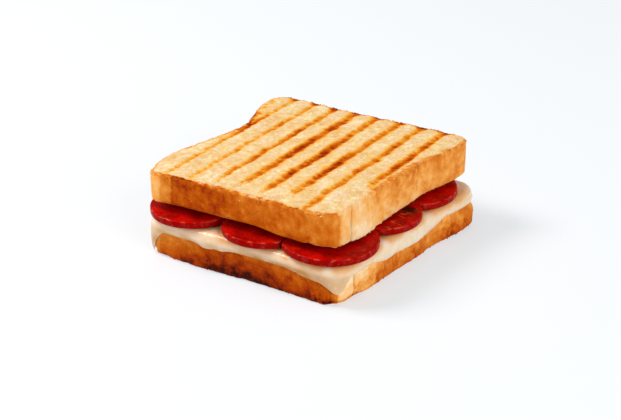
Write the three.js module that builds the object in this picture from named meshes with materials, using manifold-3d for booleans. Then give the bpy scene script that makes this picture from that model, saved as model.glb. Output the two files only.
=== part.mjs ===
// A toasted sausage and cheese sandwich, pressed on a ribbed grill.
//
// Two slices of square toast hold a layer of melted cheese and a layer of round sausage slices.
// Millimetres, +Z up. The origin is on the table, at the centre of the sandwich's footprint.
// -Y is the loaf's flat bottom crust, +Y its top crust with the two rounded ears.

import * as THREE from 'three';
import { mergeVertices } from 'three/addons/utils/BufferGeometryUtils.js';
import Module from 'manifold-3d';

const wasm = await Module();
wasm.setup();

// ---- Heights ----

const TOTAL_HEIGHT = 39.1;
const BOTTOM_SLICE_THICKNESS = 15;
const TOP_SLICE_THICKNESS = 17.1;
const SAUSAGE_THICKNESS = 3.5;
const GAP = 0.3; // air left between pieces that touch
const CHEESE_UNDERSIDE = BOTTOM_SLICE_THICKNESS + GAP;
const TOP_SLICE_UNDERSIDE = TOTAL_HEIGHT - TOP_SLICE_THICKNESS;
const SAUSAGE_UNDERSIDE = TOP_SLICE_UNDERSIDE - GAP - SAUSAGE_THICKNESS;
const CHEESE_TOP = SAUSAGE_UNDERSIDE - GAP;

// ---- The slice seen from above ----
// Each side crust is a run of [share of the depth from the front, distance from the centre line].

const SLICE_DEPTH = 102.4;
const FRONT_Y = -51;
const RIGHT_CRUST = [[0, 40.6], [0.28, 43.1], [0.62, 45.0], [0.9, 50.0], [1, 49.8]];
const LEFT_CRUST = [[0, 49.2], [0.13, 50.6], [0.58, 42.4], [0.9, 49.8], [1, 49.4]];
const RIGHT_HEEL_RADIUS = 7; // the two corners at the loaf's bottom
const LEFT_HEEL_RADIUS = 5.5;
const RIGHT_EAR_RADIUS = 6; // and the two at its top
const LEFT_EAR_RADIUS = 8.5;
const BOTTOM_SLICE = { shift: 3, widening: 1.045, rightEarRadius: 9 }; // wider, to the right
const TOP_SLICE = { earFlare: 1.2 }; // its right ear stands further out
const EAR_FLARE_RANGE = [0.62, 0.92]; // share of the depth over which it does so
const EDGE_STEPS = 13;
const CORNER_STEPS = 6;

// ---- Crust edges ----

const RIM_RADIUS = 2.4;
const RIM_STEPS = 3;
const INNER_RING = 0.78; // scale of the ring that the flat faces start from
const CRUST_WAVE = 0.45; // how far the crusts wander in and out
const CRUST_WAVE_LENGTH = 61;
const CORNER_DROOP = 1.6; // how far the upper slice's front left corner sinks
const DROOP_REACH = 9;

// ---- Marks of the grill's ribs ----

const RIB_COUNT = 8;
const RIB_PITCH = 11.1;
const RIB_OFFSET = -0.55; // the middle of the eight marks, from the slice's centre line
const RIB_RADIUS = 2.2;
const RIB_DEPTH = 0.7;
const RIB_FRONT_MARGIN = 5; // from the crust to the end of a mark
const RIB_BACK_MARGIN = 3;
const RIB_FACETS = 11;

// ---- Swells along the crust ----
// A swell lies at a distance along the crust, walked anticlockwise from the left end of the
// front edge. Curls lift the upper slice's lower edge; folds let the cheese hang lower.

const CURL_BASE = 0.9; // all round the slice
const CURLS = [
  { at: 2, size: 1.5, spread: 24 },
  { at: 16, size: 1.3, spread: 13 },
  { at: 43, size: 2.7, spread: 20 },
  { at: 72, size: 1.0, spread: 12 },
  { at: 80, size: 1.2, spread: 6 },
  { at: 106, size: -0.8, spread: 12 },
  { at: 122, size: -0.65, spread: 12 },
  { at: 222, size: 1.6, spread: 24 },
  { at: 270, size: 1.1, spread: 18 },
  { at: 342, size: 1.4, spread: 22 },
];
const FOLDS = [
  { at: 15, size: -0.3, spread: 5 },
  { at: 23.5, size: 0.7, spread: 3 },
  { at: 28, size: 1.8, spread: 10 },
  { at: 77, size: 2.4, spread: 12 },
  { at: 85, size: 1.6, spread: 6 },
  { at: 88.5, size: 5.9, spread: 4.0 },
  { at: 96, size: -1.8, spread: 3 },
  { at: 120, size: 2.4, spread: 9 },
  { at: 134, size: 1.2, spread: 10 },
  { at: 143, size: 3.4, spread: 24 },
  { at: 168, size: -1.5, spread: 8 },
  { at: 205, size: 2.4, spread: 14 },
  { at: 252, size: 3.4, spread: 16 },
  { at: 318, size: 2.8, spread: 15 },
  { at: 358, size: 1.9, spread: 10 },
  { at: 376, size: 5.6, spread: 12 },
  { at: 386.5, size: 7.4, spread: 5.0 },
];

// ---- Melted cheese ----

const HEM_HEIGHT = 12.8;
const SKIRT_THICKNESS = 0.9;
const SKIRT_BULGE = 0.3;
const CHEESE_RIM_RADIUS = 3;

// ---- Sausage slices ----
// The layer is three by three. Each entry is [centre x, centre y, radius].

const SAUSAGE_ROUNDS = [
  [-33.8, -36.5, 19.3], [2.1, -37.9, 17.8], [30.8, -34.6, 20.2],
  [-32.2, -1.4, 18.6], [1.2, -2.2, 18.2], [35.3, -1.9, 18.0],
  [-30.4, 30.4, 18.8], [2.6, 31.0, 18.4], [33.0, 27.6, 21.0],
];
const SAUSAGE_EDGE_RADIUS = 0.9;
const SAUSAGE_FACETS = 34;
const SAUSAGE_RIM_STEPS = 2;
const SAUSAGE_WOBBLE = 0.012;
const PRESSED_SHARPNESS = 40;

// ---- Finishes ----

const CRUST = new THREE.MeshStandardMaterial({ color: 0xd0894a, roughness: 0.85, metalness: 0 });
const TOAST = new THREE.MeshStandardMaterial({ color: 0xe9bf7c, roughness: 0.9, metalness: 0 });
const CHEESE = new THREE.MeshStandardMaterial({ color: 0xf0e2c0, roughness: 0.35, metalness: 0 });
const SAUSAGE = new THREE.MeshStandardMaterial({ color: 0xa5130c, roughness: 0.3, metalness: 0 });

const TURN = Math.PI * 2;

/** The value at t of a run of [place, value] pairs, eased from each pair to the next. */
function easedRun(run, t) {
  const upper = Math.max(1, run.findIndex(([place]) => place >= t));
  const [fromPlace, fromValue] = run[upper - 1];
  const [toPlace, toValue] = run[upper];
  const share = (t - fromPlace) / (toPlace - fromPlace);
  return fromValue + (toValue - fromValue) * (1 - Math.cos(Math.PI * share)) / 2;
}

/** The outline of a slice, anticlockwise from the left end of the front edge: points with the
 *  outward direction and the distance walked along the crust. */
function crustLine({ shift = 0, widening = 1, rightEarRadius = RIGHT_EAR_RADIUS, earFlare = 0 }) {
  const backY = FRONT_Y + SLICE_DEPTH;
  const depthShare = (y) => Math.min(1, Math.max(0, (y - FRONT_Y) / SLICE_DEPTH));
  const [flareStart, flareEnd] = EAR_FLARE_RANGE;
  const flare = (share) => Math.min(1, Math.max(0, (share - flareStart) / (flareEnd - flareStart)));
  const rightX = (y) => shift + widening * easedRun(RIGHT_CRUST, depthShare(y))
    + earFlare * flare(depthShare(y));
  const leftX = (y) => shift - widening * easedRun(LEFT_CRUST, depthShare(y));
  const points = [];

  const straight = (x0, y0, x1, y1, sideX) => {
    for (let i = 0; i < EDGE_STEPS; i += 1) {
      const share = i / EDGE_STEPS;
      const y = y0 + (y1 - y0) * share;
      points.push({ x: sideX ? sideX(y) : x0 + (x1 - x0) * share, y });
    }
  };
  const corner = (sideX, side, cornerY, radius, startTurn) => {
    for (let i = 0; i < CORNER_STEPS; i += 1) {
      const turn = startTurn + (i / CORNER_STEPS) * TURN / 4;
      const y = cornerY + radius * Math.sin(turn);
      points.push({ x: sideX(y) - side * radius + radius * Math.cos(turn), y });
    }
  };

  const frontStart = leftX(FRONT_Y) + LEFT_HEEL_RADIUS;
  const frontEnd = rightX(FRONT_Y) - RIGHT_HEEL_RADIUS;
  const rightHeelY = FRONT_Y + RIGHT_HEEL_RADIUS;
  const leftHeelY = FRONT_Y + LEFT_HEEL_RADIUS;
  const rightEarY = backY - rightEarRadius;
  const leftEarY = backY - LEFT_EAR_RADIUS;
  straight(frontStart, FRONT_Y, frontEnd, FRONT_Y);
  corner(rightX, 1, rightHeelY, RIGHT_HEEL_RADIUS, -TURN / 4);
  straight(0, rightHeelY, 0, rightEarY, rightX);
  corner(rightX, 1, rightEarY, rightEarRadius, 0);
  straight(rightX(backY) - rightEarRadius, backY, leftX(backY) + LEFT_EAR_RADIUS, backY);
  corner(leftX, -1, leftEarY, LEFT_EAR_RADIUS, TURN / 4);
  straight(0, leftEarY, 0, leftHeelY, leftX);
  corner(leftX, -1, leftHeelY, LEFT_HEEL_RADIUS, TURN / 2);
  return withDirections(waved(withDirections(points)));
}

/** The line with its crusts wandering in and out, in a whole number of waves. */
function waved(line) {
  const length = line[line.length - 1].walked;
  const waves = Math.round(length / CRUST_WAVE_LENGTH);
  return line.map(({ x, y, outX, outY, walked }) => {
    const out = CRUST_WAVE * Math.sin(TURN * waves * (walked / length));
    return { x: x + outX * out, y: y + outY * out };
  });
}

/** Adds to each point of a closed line its outward direction and the distance walked to it. */
function withDirections(points) {
  let walked = 0;
  return points.map((point, i) => {
    const before = points[(i + points.length - 1) % points.length];
    const after = points[(i + 1) % points.length];
    const along = Math.hypot(after.x - before.x, after.y - before.y);
    if (i > 0) {
      walked += Math.hypot(point.x - before.x, point.y - before.y);
    }
    return {
      ...point,
      outX: (after.y - before.y) / along,
      outY: (before.x - after.x) / along,
      walked,
    };
  });
}

/** The line moved inwards by an inset (outwards if negative), at a height. Both may vary. */
function inset(line, distance, height) {
  return line.map((point) => {
    const d = typeof distance === 'function' ? distance(point) : distance;
    const z = typeof height === 'function' ? height(point) : height;
    return [point.x - point.outX * d, point.y - point.outY * d, z];
  });
}

/** The line shrunk towards its middle, at one height. */
function shrunk(line, scale, height) {
  const [midX, midY] = middle(line);
  return line.map(({ x, y }) => [midX + (x - midX) * scale, midY + (y - midY) * scale, height]);
}

function middle(line) {
  const sumX = line.reduce((sum, point) => sum + point.x, 0);
  const sumY = line.reduce((sum, point) => sum + point.y, 0);
  return [sumX / line.length, sumY / line.length];
}

/** A closed skin through rings of points. The rings run from the underside's middle, out round
 *  the edge and back to the middle of the top; each turns anticlockwise seen from above. */
function closedSkin(rings, [midX, midY]) {
  const count = rings[0].length;
  const positions = rings.flat(2);
  const underMiddle = rings.length * count;
  const topMiddle = underMiddle + 1;
  positions.push(midX, midY, rings[0][0][2], midX, midY, rings[rings.length - 1][0][2]);

  const faces = [];
  for (let i = 0; i < count; i += 1) {
    const next = (i + 1) % count;
    faces.push(underMiddle, next, i);
    for (let ring = 0; ring < rings.length - 1; ring += 1) {
      const low = ring * count;
      const high = low + count;
      faces.push(low + i, low + next, high + next, low + i, high + next, high + i);
    }
    const last = (rings.length - 1) * count;
    faces.push(topMiddle, last + i, last + next);
  }

  const geometry = new THREE.BufferGeometry();
  geometry.setAttribute('position', new THREE.Float32BufferAttribute(positions, 3));
  geometry.setIndex(faces);
  return geometry;
}

/** Rings round a quarter circle of an edge, from one turn to another, with a given radius. */
function rimRings(line, radius, fromTurn, toTurn, centreInset, centreHeight, steps = RIM_STEPS) {
  const rings = [];
  for (let i = 0; i <= steps; i += 1) {
    const turn = fromTurn + (toTurn - fromTurn) * (i / steps);
    const out = radius * Math.cos(turn);
    const up = radius * Math.sin(turn);
    rings.push(inset(line, centreInset - out, (point) => centreHeight(point) + up));
  }
  return rings;
}

/** A slice of toast: flat faces, rounded rims, and edges that may lift or droop. */
function sliceSkin(line, underside, top, lift, droop) {
  const lowRim = (point) => underside + lift(point) + RIM_RADIUS;
  const highRim = (point) => top - droop(point) - RIM_RADIUS;
  const rings = [
    shrunk(line, INNER_RING, underside),
    ...rimRings(line, RIM_RADIUS, -TURN / 4, 0, RIM_RADIUS, lowRim),
    ...rimRings(line, RIM_RADIUS, 0, TURN / 4, RIM_RADIUS, highRim),
    shrunk(line, INNER_RING, top),
  ];
  return closedSkin(rings, middle(line));
}

/** The sum of a list of swells, as a function of the distance walked along a crust. */
function swell(list, line) {
  const length = line[line.length - 1].walked;
  return ({ walked }) => list.reduce((sum, { at, size, spread }) => {
    const direct = Math.abs(walked - at);
    const away = Math.min(direct, length - direct);
    return sum + size * Math.exp(-((away / spread) ** 2));
  }, 0);
}

/** How far the upper slice's top sinks at its front left corner. */
function cornerDroop(line) {
  const left = Math.min(...line.map((point) => point.x));
  return ({ x, y }) => {
    const away = Math.hypot(x - left, y - FRONT_Y);
    return CORNER_DROOP * Math.exp(-((away / DROOP_REACH) ** 2));
  };
}

/** The grill's ribs, round bars along Y that press a shallow trough each into a face. The face
 *  looks up (1) or down (-1). */
function grillRibs(centreX, faceHeight, looks) {
  const startY = FRONT_Y + RIB_FRONT_MARGIN;
  const endY = FRONT_Y + SLICE_DEPTH - RIB_BACK_MARGIN;
  return Array.from({ length: RIB_COUNT }, (_, i) => {
    const rib = new THREE.CapsuleGeometry(RIB_RADIUS, endY - startY - RIB_RADIUS, 3, RIB_FACETS);
    const x = centreX + RIB_OFFSET + (i - (RIB_COUNT - 1) / 2) * RIB_PITCH;
    rib.translate(x, (startY + endY) / 2, faceHeight + looks * (RIB_RADIUS - RIB_DEPTH));
    return rib;
  });
}

/** A geometry as a solid that can be cut. */
function toSolid(geometry) {
  const bare = geometry.clone();
  bare.deleteAttribute('normal');
  bare.deleteAttribute('uv');
  const welded = mergeVertices(bare, 1e-4);
  return new wasm.Manifold(new wasm.Mesh({
    numProp: 3,
    vertProperties: new Float32Array(welded.attributes.position.array),
    triVerts: new Uint32Array(welded.index.array),
  }));
}

/** A cut solid as a geometry again. */
function toGeometry(solid) {
  const { vertProperties, triVerts } = solid.getMesh();
  const geometry = new THREE.BufferGeometry();
  geometry.setAttribute('position', new THREE.BufferAttribute(vertProperties, 3));
  geometry.setIndex(new THREE.BufferAttribute(triVerts, 1));
  return geometry;
}

function pressed(geometry, ribs) {
  const solid = ribs.reduce((left, rib) => left.subtract(toSolid(rib)), toSolid(geometry));
  return toGeometry(solid);
}

/** Melted cheese: a layer on the lower slice whose skirt hangs over the crust, fold by fold. */
function cheeseSkin(line) {
  const fold = swell(FOLDS, line);
  const hem = (point) => HEM_HEIGHT - fold(point);
  const shoulder = BOTTOM_SLICE_THICKNESS - RIM_RADIUS;
  const brink = CHEESE_TOP - CHEESE_RIM_RADIUS;
  const outside = GAP + SKIRT_THICKNESS;
  const halfway = (point) => (hem(point) + brink) / 2;
  const inner = rimRings(line, RIM_RADIUS + GAP, TURN / 4, 0, RIM_RADIUS, () => shoulder);
  const outer = rimRings(line, CHEESE_RIM_RADIUS, 0, TURN / 4, CHEESE_RIM_RADIUS - outside,
    () => brink);
  const rings = [
    shrunk(line, INNER_RING, CHEESE_UNDERSIDE),
    ...inner,
    inset(line, -GAP, (point) => Math.min(hem(point) + SKIRT_THICKNESS / 2, shoulder - GAP)),
    inset(line, -GAP - SKIRT_THICKNESS / 2, hem),
    inset(line, -outside, (point) => hem(point) + SKIRT_THICKNESS / 2),
    inset(line, -outside - SKIRT_BULGE, halfway),
    ...outer,
    shrunk(line, INNER_RING, CHEESE_TOP),
  ];
  return closedSkin(rings, middle(line));
}

/** The distance from a round's centre to its edge, in a direction. It is the radius, a little
 *  uneven, and shorter where the slice is pressed flat against a neighbour. */
function sausageReach(index, angle) {
  const [x, y, radius] = SAUSAGE_ROUNDS[index];
  const wobble = Math.sin(2 * angle + index) + Math.sin(3 * angle + 2 * index) / 2;
  const reaches = [radius * (1 + SAUSAGE_WOBBLE * wobble)];
  SAUSAGE_ROUNDS.forEach(([otherX, otherY, otherRadius], other) => {
    const apart = Math.hypot(otherX - x, otherY - y);
    const facing = Math.cos(angle - Math.atan2(otherY - y, otherX - x));
    if (other !== index && facing > 0.1) {
      const contact = (apart ** 2 + radius ** 2 - otherRadius ** 2) / (2 * apart) - GAP;
      reaches.push(contact / facing);
    }
  });
  const sum = reaches.reduce((total, reach) => total + reach ** -PRESSED_SHARPNESS, 0);
  return sum ** (-1 / PRESSED_SHARPNESS);
}

function sausageSkin(index) {
  const [x, y] = SAUSAGE_ROUNDS[index];
  const line = withDirections(Array.from({ length: SAUSAGE_FACETS }, (_, i) => {
    const angle = (i / SAUSAGE_FACETS) * TURN;
    const reach = sausageReach(index, angle);
    return { x: x + reach * Math.cos(angle), y: y + reach * Math.sin(angle) };
  }));
  const edge = SAUSAGE_EDGE_RADIUS;
  const low = () => SAUSAGE_UNDERSIDE + edge;
  const high = () => SAUSAGE_UNDERSIDE + SAUSAGE_THICKNESS - edge;
  const rings = [
    ...rimRings(line, edge, -TURN / 4, 0, edge, low, SAUSAGE_RIM_STEPS),
    ...rimRings(line, edge, 0, TURN / 4, edge, high, SAUSAGE_RIM_STEPS),
  ];
  return closedSkin(rings, [x, y]);
}

// ---- The sandwich ----

const sandwich = new THREE.Group();

function add(name, geometry, material) {
  const mesh = new THREE.Mesh(geometry, material);
  mesh.name = name;
  sandwich.add(mesh);
}

const flat = () => 0;
const lowerLine = crustLine(BOTTOM_SLICE);
const upperLine = crustLine(TOP_SLICE);
const lowerSlice = sliceSkin(lowerLine, 0, BOTTOM_SLICE_THICKNESS, flat, flat);
const curl = swell(CURLS, upperLine);
const upperSlice = sliceSkin(upperLine, TOP_SLICE_UNDERSIDE, TOTAL_HEIGHT,
  (point) => CURL_BASE + curl(point), cornerDroop(upperLine));

add('bread_bottom', pressed(lowerSlice, grillRibs(BOTTOM_SLICE.shift, 0, -1)), CRUST);
add('cheese', cheeseSkin(lowerLine), CHEESE);
SAUSAGE_ROUNDS.forEach((_, index) => {
  add(`sausage_${index + 1}`, sausageSkin(index), SAUSAGE);
});
add('bread_top', pressed(upperSlice, grillRibs(0, TOTAL_HEIGHT, 1)), TOAST);

const footprint = new THREE.Box3().setFromObject(sandwich).getCenter(new THREE.Vector3());
sandwich.position.set(-footprint.x, -footprint.y, 0);

export default sandwich;
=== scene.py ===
"""A toasted sausage and cheese sandwich, pressed on a ribbed grill, standing on a pale floor.

Two slices of square toast hold a layer of melted cheese and nine round sausage slices. Shapes are
worked out in millimetres, in a frame whose middle is the upper slice's centre line, and each is
then set into the box of the node that it stands for. -Y is the loaf's flat bottom crust.
"""

from collections import namedtuple

import bpy
import numpy as np
from bpy.props import FloatProperty, FloatVectorProperty, IntProperty, PointerProperty
from bpy.types import Operator, Panel, PropertyGroup
from mathutils import Matrix, Vector


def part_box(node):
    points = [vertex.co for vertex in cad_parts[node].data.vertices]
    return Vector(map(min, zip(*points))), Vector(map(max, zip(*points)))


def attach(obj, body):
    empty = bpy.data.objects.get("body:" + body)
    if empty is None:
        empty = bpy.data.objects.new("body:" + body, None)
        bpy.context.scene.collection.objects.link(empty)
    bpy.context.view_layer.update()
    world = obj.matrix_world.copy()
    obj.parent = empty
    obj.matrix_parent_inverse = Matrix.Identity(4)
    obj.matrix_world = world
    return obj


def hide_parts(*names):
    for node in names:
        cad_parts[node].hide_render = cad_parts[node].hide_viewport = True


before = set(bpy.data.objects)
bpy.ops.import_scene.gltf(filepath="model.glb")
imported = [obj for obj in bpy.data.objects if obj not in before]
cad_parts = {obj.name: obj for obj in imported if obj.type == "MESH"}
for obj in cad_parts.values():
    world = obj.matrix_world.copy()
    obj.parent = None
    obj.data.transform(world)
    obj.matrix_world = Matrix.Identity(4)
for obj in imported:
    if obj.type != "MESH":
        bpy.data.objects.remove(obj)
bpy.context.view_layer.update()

bl_info = {
    "name": "Toasted sausage and cheese sandwich",
    "version": (1, 0, 0),
    "blender": (4, 5, 0),
    "location": "3D View > Sidebar > Toastie",
    "description": "Builds a grilled sandwich piece by piece, and the floor and light it is shown on",
    "category": "Object",
}

MM = 0.001
TURN = 2 * np.pi

# ---- Slices seen from above ----
# Each side crust is a run of (share of the depth from the front, distance from the centre line).

SLICE_DEPTH = 102.4
FRONT_Y = -51.0
RIGHT_CRUST = ((0, 40.6), (0.28, 43.1), (0.62, 45.0), (0.9, 50.0), (1, 49.8))
LEFT_CRUST = ((0, 49.2), (0.13, 50.6), (0.58, 42.4), (0.9, 49.8), (1, 49.4))
RIGHT_HEEL_RADIUS = 7.0
LEFT_HEEL_RADIUS = 5.5
LEFT_EAR_RADIUS = 8.5
UPPER_PLAN = {"shift": 0.0, "widening": 1.0, "right_ear_radius": 6.0, "ear_flare": 1.2}
LOWER_PLAN = {"shift": 3.0, "widening": 1.045, "right_ear_radius": 9.0, "ear_flare": 0.0}
EAR_FLARE_RANGE = (0.62, 0.92)  # share of the depth over which the right ear flares out
CRUST_WAVE = 0.45
CRUST_WAVE_LENGTH = 61.0
SECTION_STEPS = 160  # points in each stretch of an outline before it is spread evenly

# ---- Slices seen from the side ----

RIM_RADIUS = 2.4  # of the lower slice's upper edge, which the cheese lies over
UPPER_RIMS = (1.3, 1.7)  # radius at the shown face's edge and at the hidden one's
LOWER_RIMS = (0.9, RIM_RADIUS)
RIM_ROWS = 6
CORNER_DROOP = 1.6
DROOP_REACH = 9.0
HIDDEN_ROWS = 6
HIDDEN_SCALE = 0.78  # the hidden face is flat inside this share of the outline

# Swells lie at a distance along the crust, walked anticlockwise from the left end of the front
# edge: (distance, size, spread). Curls lift the upper slice's lower edge; folds let the cheese
# hang lower.
CURL_BASE = 0.9  # all round the slice
CURLS = ((2, 1.5, 24), (16, 1.3, 13), (43, 2.7, 20), (72, 1.0, 12), (80, 1.2, 6),
         (106, -0.8, 12), (122, -0.65, 12), (222, 1.6, 24), (270, 1.1, 18), (342, 1.4, 22))
FOLDS = ((15, -0.3, 5), (23.5, 0.7, 3), (28, 1.8, 10), (77, 2.4, 12), (85, 1.3, 6),
         (87.2, 4.6, 3.8), (96, -1.8, 3), (101.5, -2.4, 4.5), (118.5, 2.8, 9), (134, 1.2, 10),
         (146, 3.8, 22), (168, -2.6, 8), (205, 2.4, 14), (252, 3.4, 16), (318, 2.8, 15),
         (358, 1.9, 10), (376, 5.6, 12), (386.2, 10.8, 5.4))

# ---- Grill marks ----
# Each mark: where it ends, how brown and how wide it is, and its scorched stretches, which are
# (distance, extra darkness, spread). Distances are measured from the slice's back edge.

Mark = namedtuple("Mark", "ends browning width scorches")
RIB_PITCH = 11.1
RIB_OFFSET = -0.55
RIB_DEPTH = 0.5
HALO_SHIFT = 0.2  # the golden halo lies a little to the left of its mark
GRILL_MARKS = (
    Mark(106, 0.37, 1.5, ((39, 0.40, 11),)),
    Mark(107, 0.37, 1.6, ((30, 0.12, 16),)),
    Mark(97, 0.48, 1.7, ((35, 0.10, 10), (66, 0.16, 5))),
    Mark(95, 0.55, 2.2, ((50, 0.24, 17), (22, 0.12, 4))),
    Mark(100, 0.54, 2.1, ((36, 0.16, 6), (47, 0.26, 7), (60, 0.16, 9), (74, 0.20, 5))),
    Mark(97, 0.50, 2.1, ((44, 0.08, 10), (57, 0.28, 9), (71, 0.20, 7))),
    Mark(106, 0.49, 1.9, ((33, 0.12, 8), (54, 0.10, 12))),
    Mark(72, 0.51, 1.9, ((20, 0.10, 8), (36, 0.22, 7), (47, 0.22, 7))),
)
BACK_EDGE_SCORCH = (0.42, 3.4)  # extra darkness and reach where the marks cross the back edge
BACK_EDGE_FLARE = 0.9  # how much wider a mark gets there

# ---- Melted cheese ----

HEM_HEIGHT = 12.8
LOWEST_HEM = 1.2  # above the floor
SKIRT_THICKNESS = 0.9
SKIRT_BULGE = 0.3
CHEESE_RIM_RADIUS = 3.0
HEM_LEAN = (0.22, 0.55)  # how far the skirt leans in at its hem, inside and outside
HEM_LEAN_REACH = 1.5
HEM_ROWS = 5
SKIRT_ROWS = 14
BRINK_ROWS = 8
CHEESE_TOP_ROWS = 16
SKIRT_TUCKS = ((184, 0.7, 12),)  # where the skirt hugs the crust, as swells along it
FAT_REACH = 2.2
FAT_STARTS = (-42, -8)  # from left to right, where the fat begins to show and shows in full
FAT_PATCHES = (-0.9, 0.1)  # where on a cloud there is none and where it shows in full
BUBBLY_STRETCHES = ((24, 1.0, 7), (330, 0.8, 8), (200, 0.8, 8))
# How much the skirt is darkened and yellowed, by the distance walked round the lower slice:
# partly the toast showing through it and partly painted shade, most on the front.
SKIRT_SHOW_THROUGH_AND_SHADE = ((0, 0.6), (16, 0.50), (22, 0.34), (31, 0.42), (40, 0.62), (52, 0.85), (62, 0.9),
               (72, 0.75), (80, 0.65), (88, 0.5), (96, 0.2), (104, 0.1), (112, 0.0), (180, 0.1),
               (200, 0.3), (370, 0.4), (394, 0.6))
GAP = 0.3

# ---- Sausage slices: (centre x, centre y, radius) ----

SAUSAGE_ROUNDS = (
    (-33.8, -36.5, 19.3), (2.1, -37.9, 17.8), (30.8, -34.6, 20.2),
    (-32.2, -1.4, 18.6), (1.2, -2.2, 18.2), (35.3, -1.9, 18.0),
    (-30.4, 30.4, 18.8), (2.6, 31.0, 18.4), (33.0, 27.6, 21.0),
)
SAUSAGE_FACETS = 200
SAUSAGE_FACE_ROWS = 14
SAUSAGE_RIM_ROWS = 6
SAUSAGE_EDGE_RADIUS = 0.9
SAUSAGE_WOBBLE = 0.012
RIM_HIGHLIGHT_DROP = 0.55  # how many edge radii below the top the painted highlight line round the skin lies
RIM_HIGHLIGHT_WIDTH = 0.25
RIM_HIGHLIGHT_START = 10  # from the round's middle
# Each charred spot: (round, offset x, offset y, radius).
CHARRED_SPOTS = ((5, 10.5, 6.5, 4.4), (5, 2.5, 13.0, 2.2))
BROWNED_ROUND = 5  # the round whose veins are browned most
BROWNED_VEINS = 1.0
PLAIN_VEINS = 0.06
PRESSED_SHARPNESS = 40
SKIN_INSET = 0.06  # keeps the finer outline inside the CAD solid's

# ---- Stage ----

FLOOR_GLOW = 0.53
FLOOR_REACH = 6.0
SENSOR_WIDTH = 36
# Each light: (name, place, the point it is turned to, size), in metres.
MAIN_LIGHT = ("main_light", (-0.75, -0.35, 1.0), (0, 0, 0), 0.5)
FILL_LIGHT = ("fill_light", (1.2, -0.5, 0.6), (0, 0, 0.02), 0.9)
SKY_COLOUR = (0.97, 0.99, 1, 1)


def colour(code):
    """The linear colour of a screen colour written 0xRRGGBB: each channel over 12.92 where it is
    dark, and ((channel + 0.055) / 1.055) to the power 2.4 elsewhere."""
    channels = np.array([(code >> shift) & 255 for shift in (16, 8, 0)]) / 255
    linear = np.where(channels <= 0.04045, channels / 12.92, ((channels + 0.055) / 1.055) ** 2.4)
    return tuple(float(channel) for channel in linear)


def colour_property(name, description, code):
    """A colour setting whose default is a screen colour."""
    return FloatVectorProperty(name=name, description=description, default=colour(code),
                               subtype="COLOR", size=3, min=0, max=1)


class BreadSettings(PropertyGroup):
    """The toast's detail and colours"""
    detail: IntProperty(name="Detail", description="Points along each side of a slice",
                        default=240, min=20, max=260)
    pore_depth: FloatProperty(name="Pore depth", description="Depth of the crumb's larger pores",
                              default=0.55 * MM, min=0, unit="LENGTH")
    cream: colour_property("Crumb", "Tops of the toasted crumb between the grill marks", 0xF5E6D4)
    golden: colour_property("Golden crumb", "Hollows of the toasted crumb", 0xE6B976)
    pale_crust: colour_property("Pale crust", "Crust at the soft corners", 0xF8C88C)
    deep_crust: colour_property("Deep crust", "Crust at the loaf's bottom", 0xBA5000)


class FillingSettings(PropertyGroup):
    """The filling's detail and colours"""
    detail: IntProperty(name="Detail", description="Points along each side of the cheese",
                        default=200, min=20, max=240)
    cheese: colour_property("Cheese", "Melted cheese", 0xF6DDC4)
    sausage: colour_property("Sausage", "Cured sausage", 0xC00602)


class StageSettings(PropertyGroup):
    """The camera and the lights"""
    azimuth: FloatProperty(name="Azimuth", description="The camera's turn round the sandwich",
                           default=np.radians(31.94), subtype="ANGLE")
    elevation: FloatProperty(name="Elevation", description="The camera's height above the floor",
                             default=np.radians(25.26), subtype="ANGLE")
    distance: FloatProperty(name="Distance", description="From the camera to its target",
                            default=0.6092, min=0.1, unit="LENGTH")
    target: FloatVectorProperty(name="Target", description="The point at the picture's middle",
                                default=(0.008404, -0.014637, 0.0208), subtype="TRANSLATION")
    lens: FloatProperty(name="Lens", description="Focal length on a 36 mm wide sensor",
                        default=84.67, min=1)
    key: FloatProperty(name="Main light", description="Power of the main light in watts",
                       default=11.3, min=0)
    fill: FloatProperty(name="Fill light", description="Power of the fill light in watts",
                        default=8.4, min=0)
    sky: FloatProperty(name="Sky", description="Strength of the even light from all round",
                       default=0.5, min=0)


# ---- Shapes: runs, swells and noise ----


def smooth(low, high, value):
    """0 below low and 1 above high, eased between by 3t^2 - 2t^3."""
    share = np.clip((value - low) / (high - low), 0, 1)
    return share * share * (3 - 2 * share)


def eased_run(run, t):
    """The value at t of a run of (place, value) pairs, eased by half a cosine from pair to pair."""
    places, values = np.array(run, float).T
    upper = np.clip(np.searchsorted(places, t), 1, len(places) - 1)
    share = np.clip((t - places[upper - 1]) / (places[upper] - places[upper - 1]), 0, 1)
    return values[upper - 1] + (values[upper] - values[upper - 1]) * (1 - np.cos(np.pi * share)) / 2


def swell(swells, walked, length):
    """The sum of bell curves size * exp(-(away / spread)^2) round a closed crust."""
    total = np.zeros_like(walked)
    for at, size, spread in swells:
        away = np.abs(walked - at)
        away = np.minimum(away, length - away)
        total += size * np.exp(-((away / spread) ** 2))
    return total


def scatter(cells, salt):
    """A steady number from 0 to 1 for each whole-numbered cell: its coordinates times large odd
    numbers, mixed by shifts and products."""
    cells = cells.astype(np.uint32)
    mixed = (cells[..., 0] * np.uint32(0x8DA6B343)) ^ (cells[..., 1] * np.uint32(0xD8163841))
    mixed = mixed ^ (cells[..., 2] * np.uint32(0xCB1AB31F)) ^ np.uint32(salt * 0x9E3779B % 2**32)
    mixed = (mixed ^ (mixed >> np.uint32(15))) * np.uint32(0x2C1B3C6D)
    mixed = (mixed ^ (mixed >> np.uint32(12))) * np.uint32(0x297A2D39)
    return (mixed ^ (mixed >> np.uint32(15))) / 2.0**32


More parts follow.
